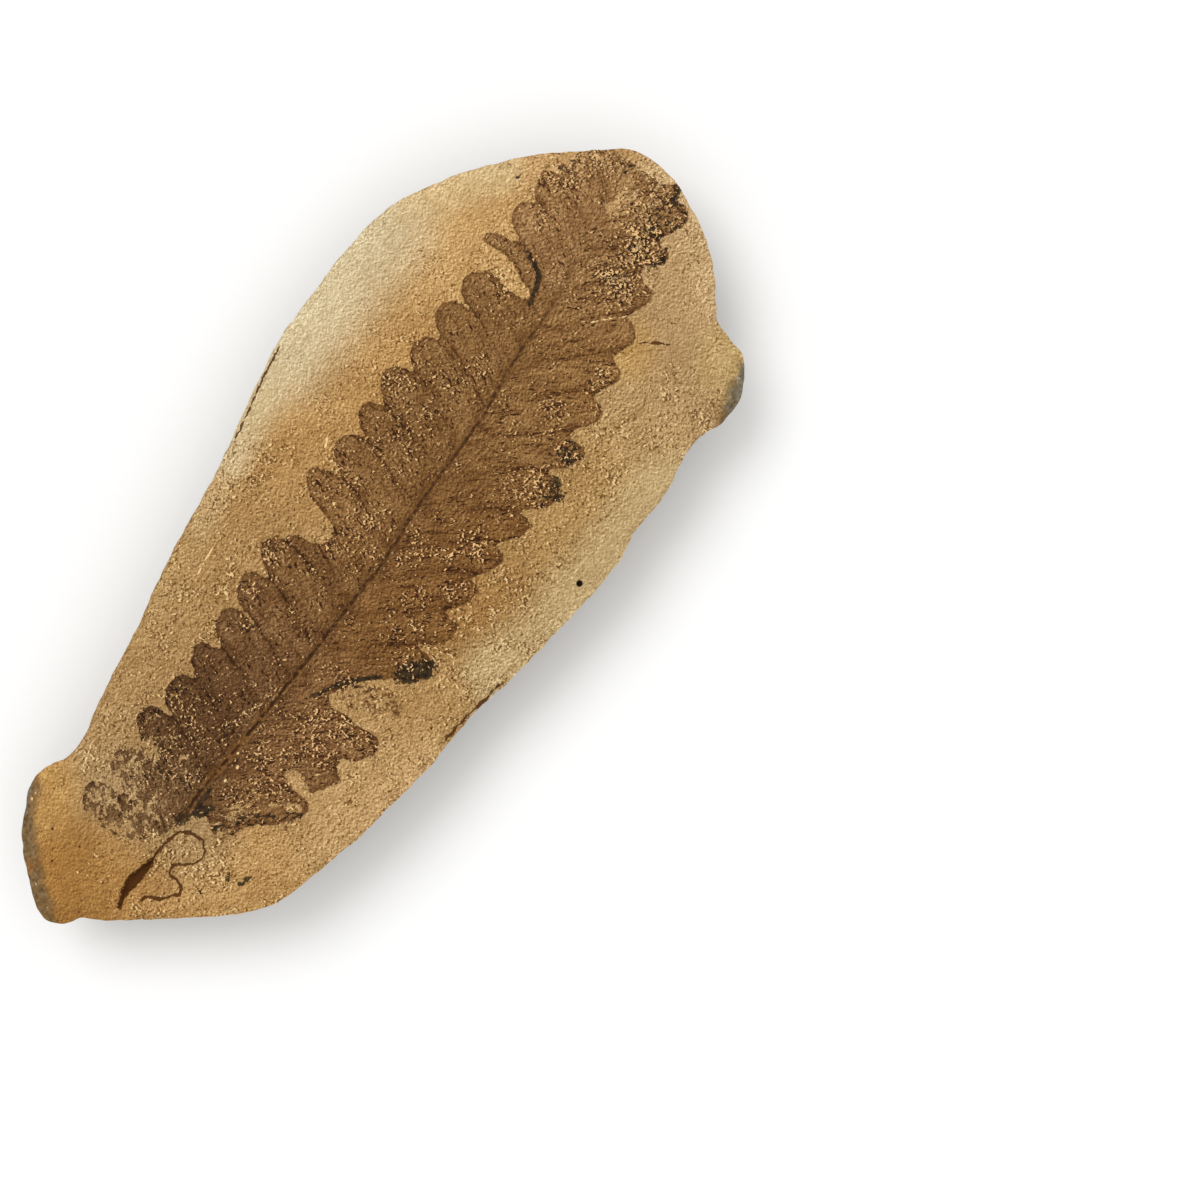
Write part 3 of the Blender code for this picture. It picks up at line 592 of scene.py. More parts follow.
# Where pale flecks crowd the film: (points, reach, amount)
GLINTS = [
    ([(-8.6, -12.2)], 1.8, 1), ([(24.8, -12.4)], 2, 0.8), ([(19, -12.2)], 2.6, 1.3),
    ([(-12.2, 9.2)], 1.6, 1.2), ([(-17.5, 9)], 1.8, 0.6), ([(-7, 9.8)], 1.8, 1.3),
    ([(-5, 9.4)], 1.2, 1), ([(19.2, 10.6)], 2, 0.9), ([(18, 8)], 1.8, 0.6),
    ([(9.6, -9.6)], 1.6, 1.1), ([(4.2, -5)], 2.2, 0.9), ([(16.2, -10.8)], 2, 0.9),
    ([(4.2, 2.6)], 2, 1.2), ([(3, -3), (0, 3)], 3, 0.5), ([(13.6, 4.6)], 1.8, 0.6),
    ([(36, -9.8)], 1.2, 1.1), ([(36.5, 6.6)], 1.2, 0.9), ([(29, -7.6)], 1.6, 0.6),
    ([(-28, 1), (-22, -0.5)], 2.2, 0.6), ([(-30, -6), (-20, -10)], 4, 0.75), ([(-34, -6)], 3, 0.9),
    ([(-19, -10.5), (-19.4, -14)], 1.6, 0.9), ([(-25, -11)], 1.6, 0.9),
    ([(-5, -9), (8, -10)], 4, 0.5), ([(5, 8), (25, 6)], 4.5, 0.3), ([(46, -4)], 3.6, 1.3),
    ([(50, -4), (57, -2.5)], 3, 1.2),
    ([(-30, -1.5), (-5, -2.1), (10, -1.4), (22, -1.2), (30, -0.1), (36, 0.3)], 0.5, 0.7),
    ([(47, -8)], 1.2, 1), ([(52, 9.6), (56.5, 8)], 2.6, 1.2), ([(57.6, 5)], 2.4, 1),
    ([(-44, 8), (-38, 6)], 4, 0.1), ([(-36, 4), (-30, 8)], 4, 0.35),
]
# Where the stone is worn smooth, with few flecks: (points, reach, amount)
SMOOTH_STONE = [
    ([(-56, 6), (-51, 11)], 6.5, 0.55), ([(8, 22), (34, 22), (46, 17)], 4.5, 0.7),
    ([(10, -23.6), (30, -24)], 2.5, 0.6), ([(44, -13), (47, -21)], 5, 0.4),
]
# Black remains of the plant's carbon: (points, reach, amount)
CARBON = [
    ([(-40.3, -1.2), (-38.4, -1.6), (-35.6, -1.3)], 0.85, 1.9),
    ([(-38.6, -1.8), (-38.1, -2.8)], 0.85, 1.9), ([(-37.4, -3), (-37, -3.6)], 0.5, 1.6),
    ([(-18.3, -5), (-16, -6.3), (-13.5, -8), (-11.3, -10.3)], 0.5, 1.3),
    ([(-9.2, -12.6), (-7, -14.2)], 1.9, 1.45), ([(-10, -11)], 1.6, 0.65),
    ([(20.2, -13.4)], 3.2, 1.02), ([(24.9, -12.4)], 2.9, 1.12),
    ([(37.2, 2.7), (39, 3.3), (40.5, 3.8), (41.5, 5.3), (42.2, 7)], 0.5, 1.4),
    ([(42.2, 7), (43.2, 9.2)], 0.5, 0.8), ([(46, -4.2)], 4.8, 0.88),
    ([(50, -4.2), (57, -3.4)], 3.4, 0.86), ([(49.8, -6.2), (51.4, -7.3), (52.8, -6.6)], 0.6, 1.1),
    ([(55, -5.8), (57.4, -6.4), (58.5, -5), (58.2, -3.9)], 0.5, 1.1),
    ([(58, -4), (59.8, -3.3)], 0.8, 1.2), ([(55, 8.5), (58.5, 3)], 2.4, 0.68),
    ([(52.6, 9.8), (55, 9)], 1, 0.85), ([(56.3, 10.2), (57.8, 8.3)], 0.35, 1.3),
    ([(47, 12.3)], 0.8, 0.7), ([(-36.5, -6.6), (-31.4, -12.4)], 1.6, 0.88),
    ([(-38.6, -5.4), (-36.8, -7.4)], 1.2, 0.85), ([(-24.6, -13.6)], 1, 0.8),
    ([(-19.2, -15)], 1, 0.8), ([(-43, -10.2)], 1.3, 1), ([(-42.4, -12), (-41.2, -12.4)], 0.8, 1),
    ([(-46.5, -8.7)], 1, 0.95), ([(-0.7, 5.4), (1, 5.6)], 0.8, 0.75),
    ([(2.2, 7.2), (2.6, 6)], 0.6, 0.8),
]
# Weathered grey skin that still clings to the rim: (half width, points)
SKIN_PATCHES = [
    (3, [(-61.8, 6.5), (-59.4, 9.9), (-55.4, 14.4), (-52, 17)]),
    (2.1, [(-53, 16.6), (-49.4, 17.2)]),
    (1.7, [(40.6, -26.2), (43.6, -25.4), (47.1, -24.4)]),
]
# Where that skin is a grey crust: (points, reach, amount)
GREY_CRUST = [([(-53.6, 16), (-50, 17.2)], 2.2, 1.5), ([(43, -25.6), (47, -24.6)], 3, 1.6)]
AMOUNTS = {
    "loss": FILM_LOSS, "glint": GLINTS, "carbon": CARBON, "smooth": SMOOTH_STONE,
    "crust": GREY_CRUST,
}
LEAST_WEIGHT = 1e-5  # of a tone far from its points
LEAST_TOTAL = 1e-6
# How dark the rachis, its groove and its painted shadow are, and how strong its painted highlights
# are: (x, amount)
RACHIS_DARK = [(-41, 0), (-39.5, 1), (-8, 1), (4, 0.9), (32, 0.85), (47, 0)]
RACHIS_HIGHLIGHT = [(-41, 0), (-38, 0.55), (-18, 0.5), (-12, 0.3), (36, 0.4), (42, 0)]
GROOVE = (0.3, 0.34)  # depth and half width of the rachis's groove


def toned(x, y, tones):
    """Colours that blend from tone to tone."""
    total = np.full(x.shape, LEAST_TOTAL)
    colour = np.zeros((*x.shape, 3))
    for points, reach, tone, strength in tones:
        weight = strength * near(x, y, points, reach) + LEAST_WEIGHT
        total = total + weight
        colour += weight[..., None] * np.array(tone)
    return colour / total[..., None]


def amounts(x, y, places):
    """The strongest amount of the places near each point."""
    field = np.zeros_like(x)
    for points, reach, amount in places:
        field = np.maximum(field, amount * near(x, y, points, reach))
    return field


def slot_depth(x, y):
    """How far each point lies inside the slot."""
    path = np.array(SLOT)
    distance, _, along = path_fields(x, y, path[:, :2])
    half_width = np.interp(along * (len(path) - 1), np.arange(len(path)), path[:, 2])
    return half_width + ripple(x, y, SLOT_RIPPLES) - distance


def crack_fields(x, y):
    """Signed distance to the nearest crack, plain distance to it, and its half width."""
    x = x + ripple(x, y, CRACK_RIPPLES[:1])
    y = y + ripple(x, y, CRACK_RIPPLES[1:])
    best = np.stack([np.full(x.shape, value) for value in NO_CRACK])
    for half_width, points in CRACKS:
        distance, signed, _ = path_fields(x, y, smooth_curve(points, CURVE_STEPS, False))
        crack = np.stack([signed, distance, np.full(x.shape, half_width)])
        best = np.where(distance < best[1], crack, best)
    return np.moveaxis(best, 0, -1)


def inside_places(x, y, places):
    """How far each point lies inside one of the places, which are (half width, points)."""
    field = np.full(x.shape, BARE)
    for half_width, points in places:
        field = np.maximum(field, half_width - path_fields(x, y, points)[0])
    return field


def spots(places):
    return [(radius, [(x, y)]) for x, y, radius in places]


def face_fields(x, y):
    """What the material reads on the face, by name, and the frond's relief."""
    film, crease, relief = frond_fields(x, y)
    fields = {
        "film": film,
        "crease": crease,
        "grain": leaf_grain(x, y),
        "rachis": y - rachis_height(x),
        "rachis_dark": np.interp(x, *zip(*RACHIS_DARK)),
        "rachis_highlight": np.interp(x, *zip(*RACHIS_HIGHLIGHT)),
        "slot": slot_depth(x, y),
        "cracks": crack_fields(x, y),
        "pits": inside_places(x, y, spots(PITS)),
        "pale": inside_places(x, y, spots(GRAINS) + SCRATCHES),
        "skin": inside_places(x, y, SKIN_PATCHES),
        "stone_tone": toned(x, y, STONE_TONES + RIM_TONES),
        "film_tone": toned(x, y, FILM_TONES),
    }
    for name, places in AMOUNTS.items():
        fields[name] = amounts(x, y, places)
    return fields, relief


def face_surface(x, y, inset, fields, relief):
    """The height of the finished face."""
    z = face_height(x, y, inset) + relief
    depth, half_width = GROOVE
    z -= depth * fields["rachis_dark"] * fading(fields["rachis"], half_width)
    z -= SLOT_DEPTH * smoothstep(*SLOT_WALL, fields["slot"])
    _, nearest, width = np.moveaxis(fields["cracks"], -1, 0)
    cracks = fading(nearest, width + CRACK_WALL) * (width > FINEST_CRACK)
    z -= CRACK_DEPTH * cracks
    z -= PIT_DEPTH * smoothstep(*PIT_WALL, fields["pits"])
    z += ripple(x, y, FACE_RIPPLES)
    chipped = smoothstep(*CHIP_SPAN, ripple(x, y, CHIP_RIPPLES))
    z -= CHIP_DEPTH * chipped * fading(inset, CHIP_WIDTH)
    return z


# -------------------- the plate's mesh


def joined(face, back):
    """The face's and the back's rows as one list, in which each axis has its points once."""
    half = SIDE_COLUMNS + 1
    parts = [face[0, :half], face[1:], back[:-1], back[-1, :half]]
    width = face.shape[2:] or (1,)
    return np.concatenate([part.reshape(-1, *width) for part in parts])


def joined_rows(face_count, back_count):
    """Where each point of the face's rows, and of the rim and the back's, is in `joined`."""
    ring = np.arange(2 * SIDE_COLUMNS)
    on_axis = np.minimum(ring, 2 * SIDE_COLUMNS - ring)[None]
    first = SIDE_COLUMNS + 1
    last = first + (face_count + back_count - 2) * len(ring)
    rings = np.arange(first, last).reshape(-1, len(ring))
    face, back = rings[: face_count - 1], rings[face_count - 2 :]
    return np.concatenate([on_axis, face]), np.concatenate([back, on_axis + last])


def quads_between(inner, outer):
    """What the four corners of each quad hold, between rows that are closed rings."""
    inner_next = np.roll(inner, -1, axis=1)
    outer_next = np.roll(outer, -1, axis=1)
    quads = np.stack([inner, inner_next, outer_next, outer], axis=2)
    return quads.reshape(-1, 4, *inner.shape[2:])


def quads_of(face_rows, back_rows):
    """The face's quads and then the back's, all turned outwards."""
    face = quads_between(face_rows[:-1], face_rows[1:])
    back = quads_between(back_rows[1:], back_rows[:-1])
    return np.concatenate([face, back])


def chipped_rim():
    """The rim's ring, with its small chips."""
    ring = rim_ring()
    chips = ripple(ring[:, 0], ring[:, 1], RIM_RIPPLES) - RIM_INSET
    return ring + outward(ring) * chips[:, None]


def face_inset(x, y):
    """How far each point of the face's rows lies from the smooth outline; the rim is on it."""
    outline = smooth_curve(OUTLINE, INSET_STEPS, True)
    inset = path_fields(x, y, np.concatenate([outline, outline[:1]]))[0]
    inset[-1] = 0.0
    return inset


def plate_arrays():
    """The plate's points, its quads, their corners' places on the map, and its fields."""
    rim = chipped_rim()
    x, y = face_grid(rim)
    fields, relief = face_fields(x, y)
    z = face_surface(x, y, face_inset(x, y), fields, relief)
    face = np.stack([x, y, z], axis=-1)
    back = np.stack(back_grid(rim, z[-1]), axis=-1)
    quads = quads_of(*joined_rows(len(face), len(back)))
    face_map = map_places(face[:, :, :2], FACE_MAP_FOOT)
    back_map = map_places(unrolled(np.concatenate([face[-1:], back]), face[0]), BACK_MAP_FOOT)
    places = quads_of(face_map, back_map)
    values = {name: joined(field, behind(name, field, back)) for name, field in fields.items()}
    return joined(face, back), quads, places, values


def unrolled(rows, axis):
    """The back's rows laid flat inside the rim, by their distance from it over the surface."""
    steps = np.linalg.norm(np.diff(rows, axis=0), axis=2)
    travelled = np.concatenate([np.zeros((1, rows.shape[1])), np.cumsum(steps, axis=0)])
    share = (travelled / travelled[-1])[:, :, None]
    return rows[0, :, :2] * (1.0 - share) + axis[:, :2] * share


def map_places(places, foot):
    """Places on the texture map for places in the plane, with the lowest at this height."""
    return (places - MAP_CORNER) / MAP_WIDTH + np.array([0.0, foot])


def behind(name, field, back):
    """What the face's field of this name continues as on the back's rows."""
    if name == "grain":
        return back
    value = BACK_FIELDS.get(name, field[-1][None])
    return np.broadcast_to(value, (*back.shape[:2], *field.shape[2:]))


def add_object(name, data):
    item = bpy.data.objects.new(name, data)
    bpy.context.scene.collection.objects.link(item)
    return item


def build_plate():
    points, quads, places, fields = plate_arrays()
    mesh = bpy.data.meshes.new("fossil_plate_stone")
    mesh.vertices.add(len(points))
    mesh.vertices.foreach_set("co", (points * MM).ravel().astype(np.float32))
    mesh.loops.add(quads.size)
    mesh.loops.foreach_set("vertex_index", quads.ravel().astype(np.int32))
    mesh.polygons.add(len(quads))
    mesh.polygons.foreach_set("loop_start", np.arange(0, quads.size, 4, dtype=np.int32))
    mesh.update(calc_edges=True)
    mesh.polygons.foreach_set("use_smooth", np.ones(len(quads), dtype=bool))
    texture_map = mesh.uv_layers.new(name="OFBake")
    texture_map.uv.foreach_set("vector", places.ravel().astype(np.float32))
    for name, values in fields.items():
        store_field(mesh, name, values)
    return add_object("fossil_plate_stone", mesh)


def store_field(mesh, name, values):
    kind, key = ("FLOAT", "value") if values.shape[1] == 1 else ("FLOAT_VECTOR", "vector")
    field = mesh.attributes.new(name, kind, "POINT")
    field.data.foreach_set(key, values.ravel().astype(np.float32))


# -------------------- the material

# Colours, as seen in the photograph's light
PALE_FLECK = (0.92, 0.59, 0.27)
WHITE_SPECK = (1.0, 0.74, 0.38)
# Rachis: its line is dark partly as painted shade in its groove; beside it lie painted shadow and
# warm painted highlights.
RACHIS_LINE = (0.048, 0.018, 0.005)
RACHIS_PAINTED_SHADOW = (0.110, 0.048, 0.013)
PAINTED_EDGE_HIGHLIGHT = (0.36, 0.17, 0.045)
CARBON_BLACK = (0.009, 0.005, 0.001)
CARBON_GREY = (0.044, 0.027, 0.011)
# HOLLOW is the dark brown of the slot and the cracks, and painted shadow in the recess along the
# lower rim.
HOLLOW = (0.098, 0.032, 0.005)
GREY_SKIN = (0.185, 0.154, 0.102)
BROWN_SKIN = (0.19, 0.120, 0.052)
RUST_SKIN = (0.30, 0.13, 0.035)
PINHOLE = (0.62, 0.60, 0.52)
ALBEDO = 0.87  # of those colours
SHADE_POWERS = (1.0, 1.25, 1.65)  # how much faster than red do green and blue darken

# Painted light and shade: the fine crests are painted lit on the side towards the light, and each
# fleck's painted shade falls away from it.
CREST_SHIFT = (0.05, 0.22, 0.0)  # towards the light that the crests face
SHADE_SHIFT = (-0.14, 0.24, 0.0)  # from a fleck's shade to the fleck
ELSEWHERE = (31.7, -7.3, 12.1)

# A noise is (wavelength in mm, detail, roughness, distortion), and both of these follow their
# own wavelength. GRAINS are (contrast, noise) and a WANDER is (reach either way, noise). A SPAN
# is where a value starts and stops to grow from 0 to 1, and a LINE is (factor, what is added).
CREST_NOISE = (2.0, 0.6, 0.6)
STROKE_NOISE = (1.0, 0.5, 0.7)
NOISE_MIDDLE = 0.5
STROKE_SPAN = (0.066, 0.03)
STROKE_GROWTH = 0.016  # how much further that span reaches where strokes crowd
STROKE_LENGTH = 0.6  # in wavelengths
STROKE_BREAK_DETAIL = 1.0
STROKE_CHANCE = 0.28
KEPT_SPAN = (0.74, 0.79)

CLUSTERS = (3.6, 3.0, 0.6)
CLUSTER_SPAN = (0.3, 0.8)
CLUSTER_LINE = (0.8, 0.12)
WHITE_WAVELENGTH = 0.66
DARK_WAVELENGTH = 0.7
DARK_CROWD = 0.22  # how much more they crowd than the white specks
# DARK_STRENGTH darkens the dark specks and the painted shade beside each white speck.
DARK_STRENGTH = -0.62
STONE_CREST = 0.33  # wavelength
STONE_CREST_LINE = (1.5, 0.95)
STONE_GRAINS = [(0.7, 0.33, 2.0, 0.6, 0.8), (0.7, 1.2, 3.0, 0.6, 0.4), (0.5, 6.0, 3.0, 0.5)]
WORN_EVENNESS = 0.4
WHITE_STRENGTH = 0.78

TATTERS = (0.84, 4.0, 0.68, 0.5)
TATTERS_STRETCH = (1.0, 0.7, 1.0)
LOSS_LINE = (0.38, 0.22)
TEAR_SPAN = (-0.015, 0.025)
FILM_WANDER = (0.45, 0.7, 3.0, 0.6)
FILM_SPAN = (-0.06, 0.08)
CREASE_WANDER = (0.22, 0.8, 2.0)
VEINS = (0.62, 2.0, 0.55, 0.3)
VEIN_STRETCH = (1.0, 0.22, 1.0)
VEIN_CONTRAST = 1.1
FILM_CREST = 0.36  # wavelength
FILM_CREST_LINE = (2.1, 0.987)
FILM_GRAINS = [(0.9, 0.36, 2.0, 0.6, 0.8), (0.9, 3.2, 2.0)]
# What darkens the film: (what it is near, span, strength)
FILM_SHADES = [
    # The two crease entries are painted shade: a dark line in each crease between the leaflets'
    # domes, and a wider shade across the domes towards it.
    ("edge", (0.7, 0.1), -0.3), ("tear", (0.06, 0.0), -0.25), ("crease", (0.2, 0.05), -0.58),
    ("crease", (1.0, 0.1), -0.19), ("vein", (0.37, 0.29), -0.35),
]
# FLECK_SHADE darkens the painted shade beside each fleck and the dark scratches along the leaflets.
FLECK_SHADE = -0.85
DARKEST_FILM = 0.16

FLECK_CLUSTERS = (2.8, 2.0)
FLECK_LINE = (1.5, -0.42)
GLINT_CROWD = 0.5
FLECK_WAVELENGTH = 0.6
SCRATCH_STRETCH = (1.0, 0.45, 1.0)
SCRATCH_CROWD = 0.2  # how much more they crowd than the flecks
FLECK_STRENGTH = 0.92

RACHIS_WANDER = (0.25, 1.2, 3.0)
RACHIS_BREAKS = (0.6, 2.0)
SHADOW_BAND_SPAN = (1.1, 0.2)
SHADOW_BAND_STRENGTH = 0.5
HIGHLIGHT_SPANS = ((0.62, 0.3), (0.36, 0.56))  # across the rachis, and of its breaks
HIGHLIGHT_STRENGTH = 0.8
DARK_SPANS = ((0.3, 0.12), (0.72, 0.46))

CRUMBS = (0.55, 3.0, 0.65, 0.4)
CARBON_LINE = (0.4, 0.14)
CARBON_SPAN = (0.0, 0.03)
CARBON_PATCHES = (0.6, 2.0)
CARBON_PATCH_SPAN = (0.4, 0.62)
CARBON_STRENGTH = 0.92

SKIN_MOTTLE = (9.0, 4.0, 0.6)
CRUST_LEVEL = -0.5
GREY_SPAN = (0.08, -0.08)
SKIN_RUST = (5.0, 4.0, 0.6, 0.4)
SKIN_RUST_SPAN = (0.52, 0.72)
SKIN_RUST_STRENGTH = 0.6
SKIN_GRAIN = (0.6, 4.0, 0.65)
SKIN_GRAIN_LINE = (2.6, -0.3)
PINHOLE_SPACING = 1.5
PINHOLE_NOISE = (0.2, 2.0)
PINHOLE_BENDS = (1.6, 1.6, 1.6)
PINHOLE_LINE = (0.34, -0.17)
PINHOLE_SPAN = (0.03, -0.03)

# Ragged edges, by field: (span, wander)
EDGES = {
    "skin": ((-0.7, 0.9), (1.5, 1.6, 4.0, 0.65)), "slot": ((-0.04, 0.08), (0.55, 0.5, 3.0, 0.6)),
    "pale": ((-0.02, 0.06), (0.15, 0.5, 2.0)),
}
PALE_STRENGTH = 0.85
PIT_SPAN = (-0.05, 0.08)
CRACK_WANDER = (0.2, 0.5, 2.0, 0.6)
GAPE = (0.9, 2.0)
GAPE_LINE = (0.6, -0.25)
CRACK_SPAN = (0.05, -0.04)
CRACK_REACH = (0.5, 0.3)  # from the crack's side, past which nothing wanders
HOLLOW_STRENGTH = 0.95

FILM_ROUGHNESS = -0.12
CARBON_ROUGHNESS = -0.08
STONE_ROUGHNESS = 0.86
SHEEN = 0.12
# Finest relief in millimetres, where the first three are (height, noise)
FINE_RELIEF = (0.10, 0.4, 3.0, 0.6)
COARSE_RELIEF = (0.12, 1.3, 3.0, 0.6)
CRUST_RELIEF = (0.5, 2.2, 4.0, 0.65)
FILM_RELIEF = 0.035
FLECK_RELIEF = 0.03
CARBON_RELIEF = 0.03
CRACK_RELIEF = -0.2


def new_material(name):
    """A new material and its shader."""
    material = bpy.data.materials.new(name)
    material.use_nodes = True
    return material, material.node_tree.nodes["Principled BSDF"]


def connect(value, socket):
    """Puts an output, a number, a vector or a colour on a node's input."""
    if isinstance(value, Output):
        socket.id_data.links.new(value.socket, socket)
    elif socket.type == "RGBA":
        socket.default_value = (*value, 1.0)
    else:
        socket.default_value = value


def add_node(tree, kind, inputs, **settings):
    """A new shader node with these settings, and with `inputs` on the inputs they name."""
    node = tree.nodes.new("ShaderNode" + kind)
    for name, setting in settings.items():
        setattr(node, name, setting)
    for key, value in inputs.items():
        connect(value, node.inputs[key])
    return node


class Output:
    """What a shader node puts out. Arithmetic on it adds the node that works out the result."""

    def __init__(self, socket):
        self.socket = socket
        self.tree = socket.id_data

    def worked(self, operation, *others):
        """The result of a maths node on this output and the others."""
        kind = "Math" if self.socket.type == "VALUE" else "VectorMath"
        inputs = dict(enumerate((self, *others)))
        return Output(add_node(self.tree, kind, inputs, operation=operation).outputs[0])

    def __add__(self, other):
        return self.worked("ADD", other)

    def __sub__(self, other):
        return self.worked("SUBTRACT", other)

    def __mul__(self, other):
        return self.worked("MULTIPLY", other)

    def __abs__(self):
        return self.worked("ABSOLUTE")

    def larger(self, other):
        return self.worked("MAXIMUM", other)

    def line(self, factor, added):
        """This output times the factor, and what is added."""
        return self.worked("MULTIPLY_ADD", factor, added)

    def step(self, low, high):
        """0 below `low`, 1 above `high` and smooth between them. Turned round if low > high."""
        ends = (high, low, 1.0, 0.0) if low > high else (low, high, 0.0, 1.0)
        inputs = dict(zip(("From Min", "From Max", "To Min", "To Max"), ends), Value=self)
        node = add_node(self.tree, "MapRange", inputs, interpolation_type="SMOOTHSTEP")
        return Output(node.outputs["Result"])

    def field(self, name, output="Fac"):
        """The mesh's field of this name."""
        node = add_node(self.tree, "Attribute", {}, attribute_name=name)
        return Output(node.outputs[output])

    def noise(self, wavelength, detail, roughness=0.5, distortion=0.0, output="Fac"):
        """Noise, read at this place."""
        inputs = {"Vector": self, "Scale": 1.0 / wavelength, "Detail": detail}
        inputs.update({"Roughness": roughness, "Distortion": distortion})
        return Output(add_node(self.tree, "TexNoise", inputs).outputs[output])

    def wander(self, reach, *noise):
        """A random shift of up to `reach` either way."""
        return self.noise(*noise).line(2.0 * reach, -reach)

    def varied(self, contrast):
        """A brightness factor round 1 that follows this noise."""
        return self.line(contrast, 1.0 - contrast / 2)

    def covered(self, name):
        """Where the field of this name, with its ragged edge, covers the stone."""
        span, wander = EDGES[name]
        return (self.field(name) + self.wander(*wander)).step(*span)


def product(factors):
    return math.prod(factors[1:], start=factors[0])


def mix(share, a, b):
    """Colour `a` where the share is 0 and `b` where it is 1."""
    node = add_node(share.tree, "Mix", {0: share, 6: a, 7: b}, data_type="RGBA")
    return Output(node.outputs[2])


def shaded(colour, factor):
    """The colour, made brighter and paler or darker and redder by the factor."""
    powers = dict(enumerate(factor.worked("POWER", power) for power in SHADE_POWERS))
    return colour * Output(add_node(factor.tree, "CombineXYZ", powers).outputs[0])


def darker(value, strength):
    """A brightness factor that is less than 1 by this strength where the value is 1."""
    return value.line(strength, 1.0)


def crests(place, wavelength, line):
    """Painted brightness of fine relief in slanting light: painted light on the near side of a
    crest, painted shade beyond it.
    """
    here = place.noise(wavelength, *CREST_NOISE)
    beyond = (place + CREST_SHIFT).noise(wavelength, *CREST_NOISE)
    return (here - beyond).line(*line)


def strokes(place, wavelength, crowd):
    """Short crooked strokes, none where `crowd` is 0 and many where it is 1, and the painted shade
    beside each.
    """
    masks = []
    for spot in (place, place + SHADE_SHIFT):
        bends = abs(spot.noise(wavelength, *STROKE_NOISE) - NOISE_MIDDLE)
        bends = crowd.larger(0.0).line(-STROKE_GROWTH, bends)
        breaks = (spot + ELSEWHERE).noise(STROKE_LENGTH * wavelength, STROKE_BREAK_DETAIL)
        kept = crowd.line(STROKE_CHANCE, breaks).step(*KEPT_SPAN)
        masks.append(bends.step(*STROKE_SPAN) * kept)
    return masks


def stone_colour(place):
    """Bare siltstone: grainy ochre with dark and white specks, painted shade beside each white speck
    and painted light and shade on its fine crests.
    """
    smooth = place.field("smooth")
    crowd = place.noise(*CLUSTERS).step(*CLUSTER_SPAN).line(*CLUSTER_LINE) - smooth
    white, shade = strokes(place, WHITE_WAVELENGTH, crowd)
    dark, _ = strokes(place + ELSEWHERE, DARK_WAVELENGTH, crowd + DARK_CROWD)
    factors = [crests(place, STONE_CREST, STONE_CREST_LINE)]
    factors += [place.noise(*noise).varied(contrast) for contrast, *noise in STONE_GRAINS]
    grain = product([*factors, darker(dark.larger(shade), DARK_STRENGTH)])
    evened = smooth * WORN_EVENNESS
    grain = grain * darker(evened, -1.0) + evened
    colour = shaded(place.field("stone_tone", "Vector"), grain)
    return mix(white * WHITE_STRENGTH, colour, WHITE_SPECK)


def film_cover(place):
    """Where the leaf film lies, how far inside its edge, and how far from a tear in it."""
    depth = place.field("film") + place.wander(*FILM_WANDER)
    tatters = (place.field("grain", "Vector") * TATTERS_STRETCH).noise(*TATTERS)
    whole = tatters - place.field("loss").worked("SQRT").line(*LOSS_LINE)
    return depth.step(*FILM_SPAN) * whole.step(*TEAR_SPAN), depth, whole


def film_colour(place, depth, whole, shade):
    """Brown leaf film, streaked along the leaflets and darker at its margins, with painted shade in
    and towards its creases, painted light and shade on its fine crests, and painted shade beside its
    flecks and dark scratches.
    """
    crease = place.field("crease") + place.wander(*CREASE_WANDER)
    veins = (place.field("grain", "Vector") * VEIN_STRETCH).noise(*VEINS)
    factors = [crests(place, FILM_CREST, FILM_CREST_LINE), veins.varied(VEIN_CONTRAST)]
    factors += [place.noise(*noise).varied(contrast) for contrast, *noise in FILM_GRAINS]
    nearness = {"edge": depth, "tear": whole, "crease": crease, "vein": veins}
    for name, span, strength in FILM_SHADES:
        factors.append(darker(nearness[name].step(*span), strength))
    factor = product([*factors, darker(shade, FLECK_SHADE)]).larger(DARKEST_FILM)
    return shaded(place.field("film_tone", "Vector"), factor)


def film_flecks(place):
    """Flecks of bare stone in the film, and the painted shade beside each joined with dark scratches
    along the leaflets.
    """
    crowd = place.noise(*FLECK_CLUSTERS).line(*FLECK_LINE)
    crowd = place.field("glint").line(GLINT_CROWD, crowd)
    flecks, shade = strokes(place, FLECK_WAVELENGTH, crowd)
    along = place.field("grain", "Vector") * SCRATCH_STRETCH
    scratches, _ = strokes(along, FLECK_WAVELENGTH, crowd + SCRATCH_CROWD)
    return flecks, shade.larger(scratches)


def rachis_colour(place, colour):
    """The rachis's dark line, partly painted shade in its groove, with painted shadow beside it
    and warm painted highlights on its edges where the film is thick.
    """
    off = abs(place.field("rachis") + place.wander(*RACHIS_WANDER))
    breaks = place.noise(*RACHIS_BREAKS)
    dark = place.field("rachis_dark")
    # Painted shadow on each side of the rachis.
    painted_shadow = off.step(*SHADOW_BAND_SPAN) * dark * SHADOW_BAND_STRENGTH
    colour = mix(painted_shadow, colour, RACHIS_PAINTED_SHADOW)
    # Warm painted highlights on the rachis's edges.
    across, broken = HIGHLIGHT_SPANS
    rust_and_highlight = off.step(*across) * place.field("rachis_highlight") * breaks.step(*broken)
    colour = mix(rust_and_highlight * HIGHLIGHT_STRENGTH, colour, PAINTED_EDGE_HIGHLIGHT)
    # The dark line: the rachis's own colour, deepened by painted shade in its groove.
    across, broken = DARK_SPANS
    return mix(off.step(*across) * dark * breaks.step(*broken), colour, RACHIS_LINE)


def carbon_cover(place):
    """Where crumbs of carbon cover the stone."""
    return (place.field("carbon").line(*CARBON_LINE) - place.noise(*CRUMBS)).step(*CARBON_SPAN)


def carbon_colour(place):
    grey = place.noise(*CARBON_PATCHES).step(*CARBON_PATCH_SPAN)
    return mix(grey, CARBON_BLACK, CARBON_GREY)


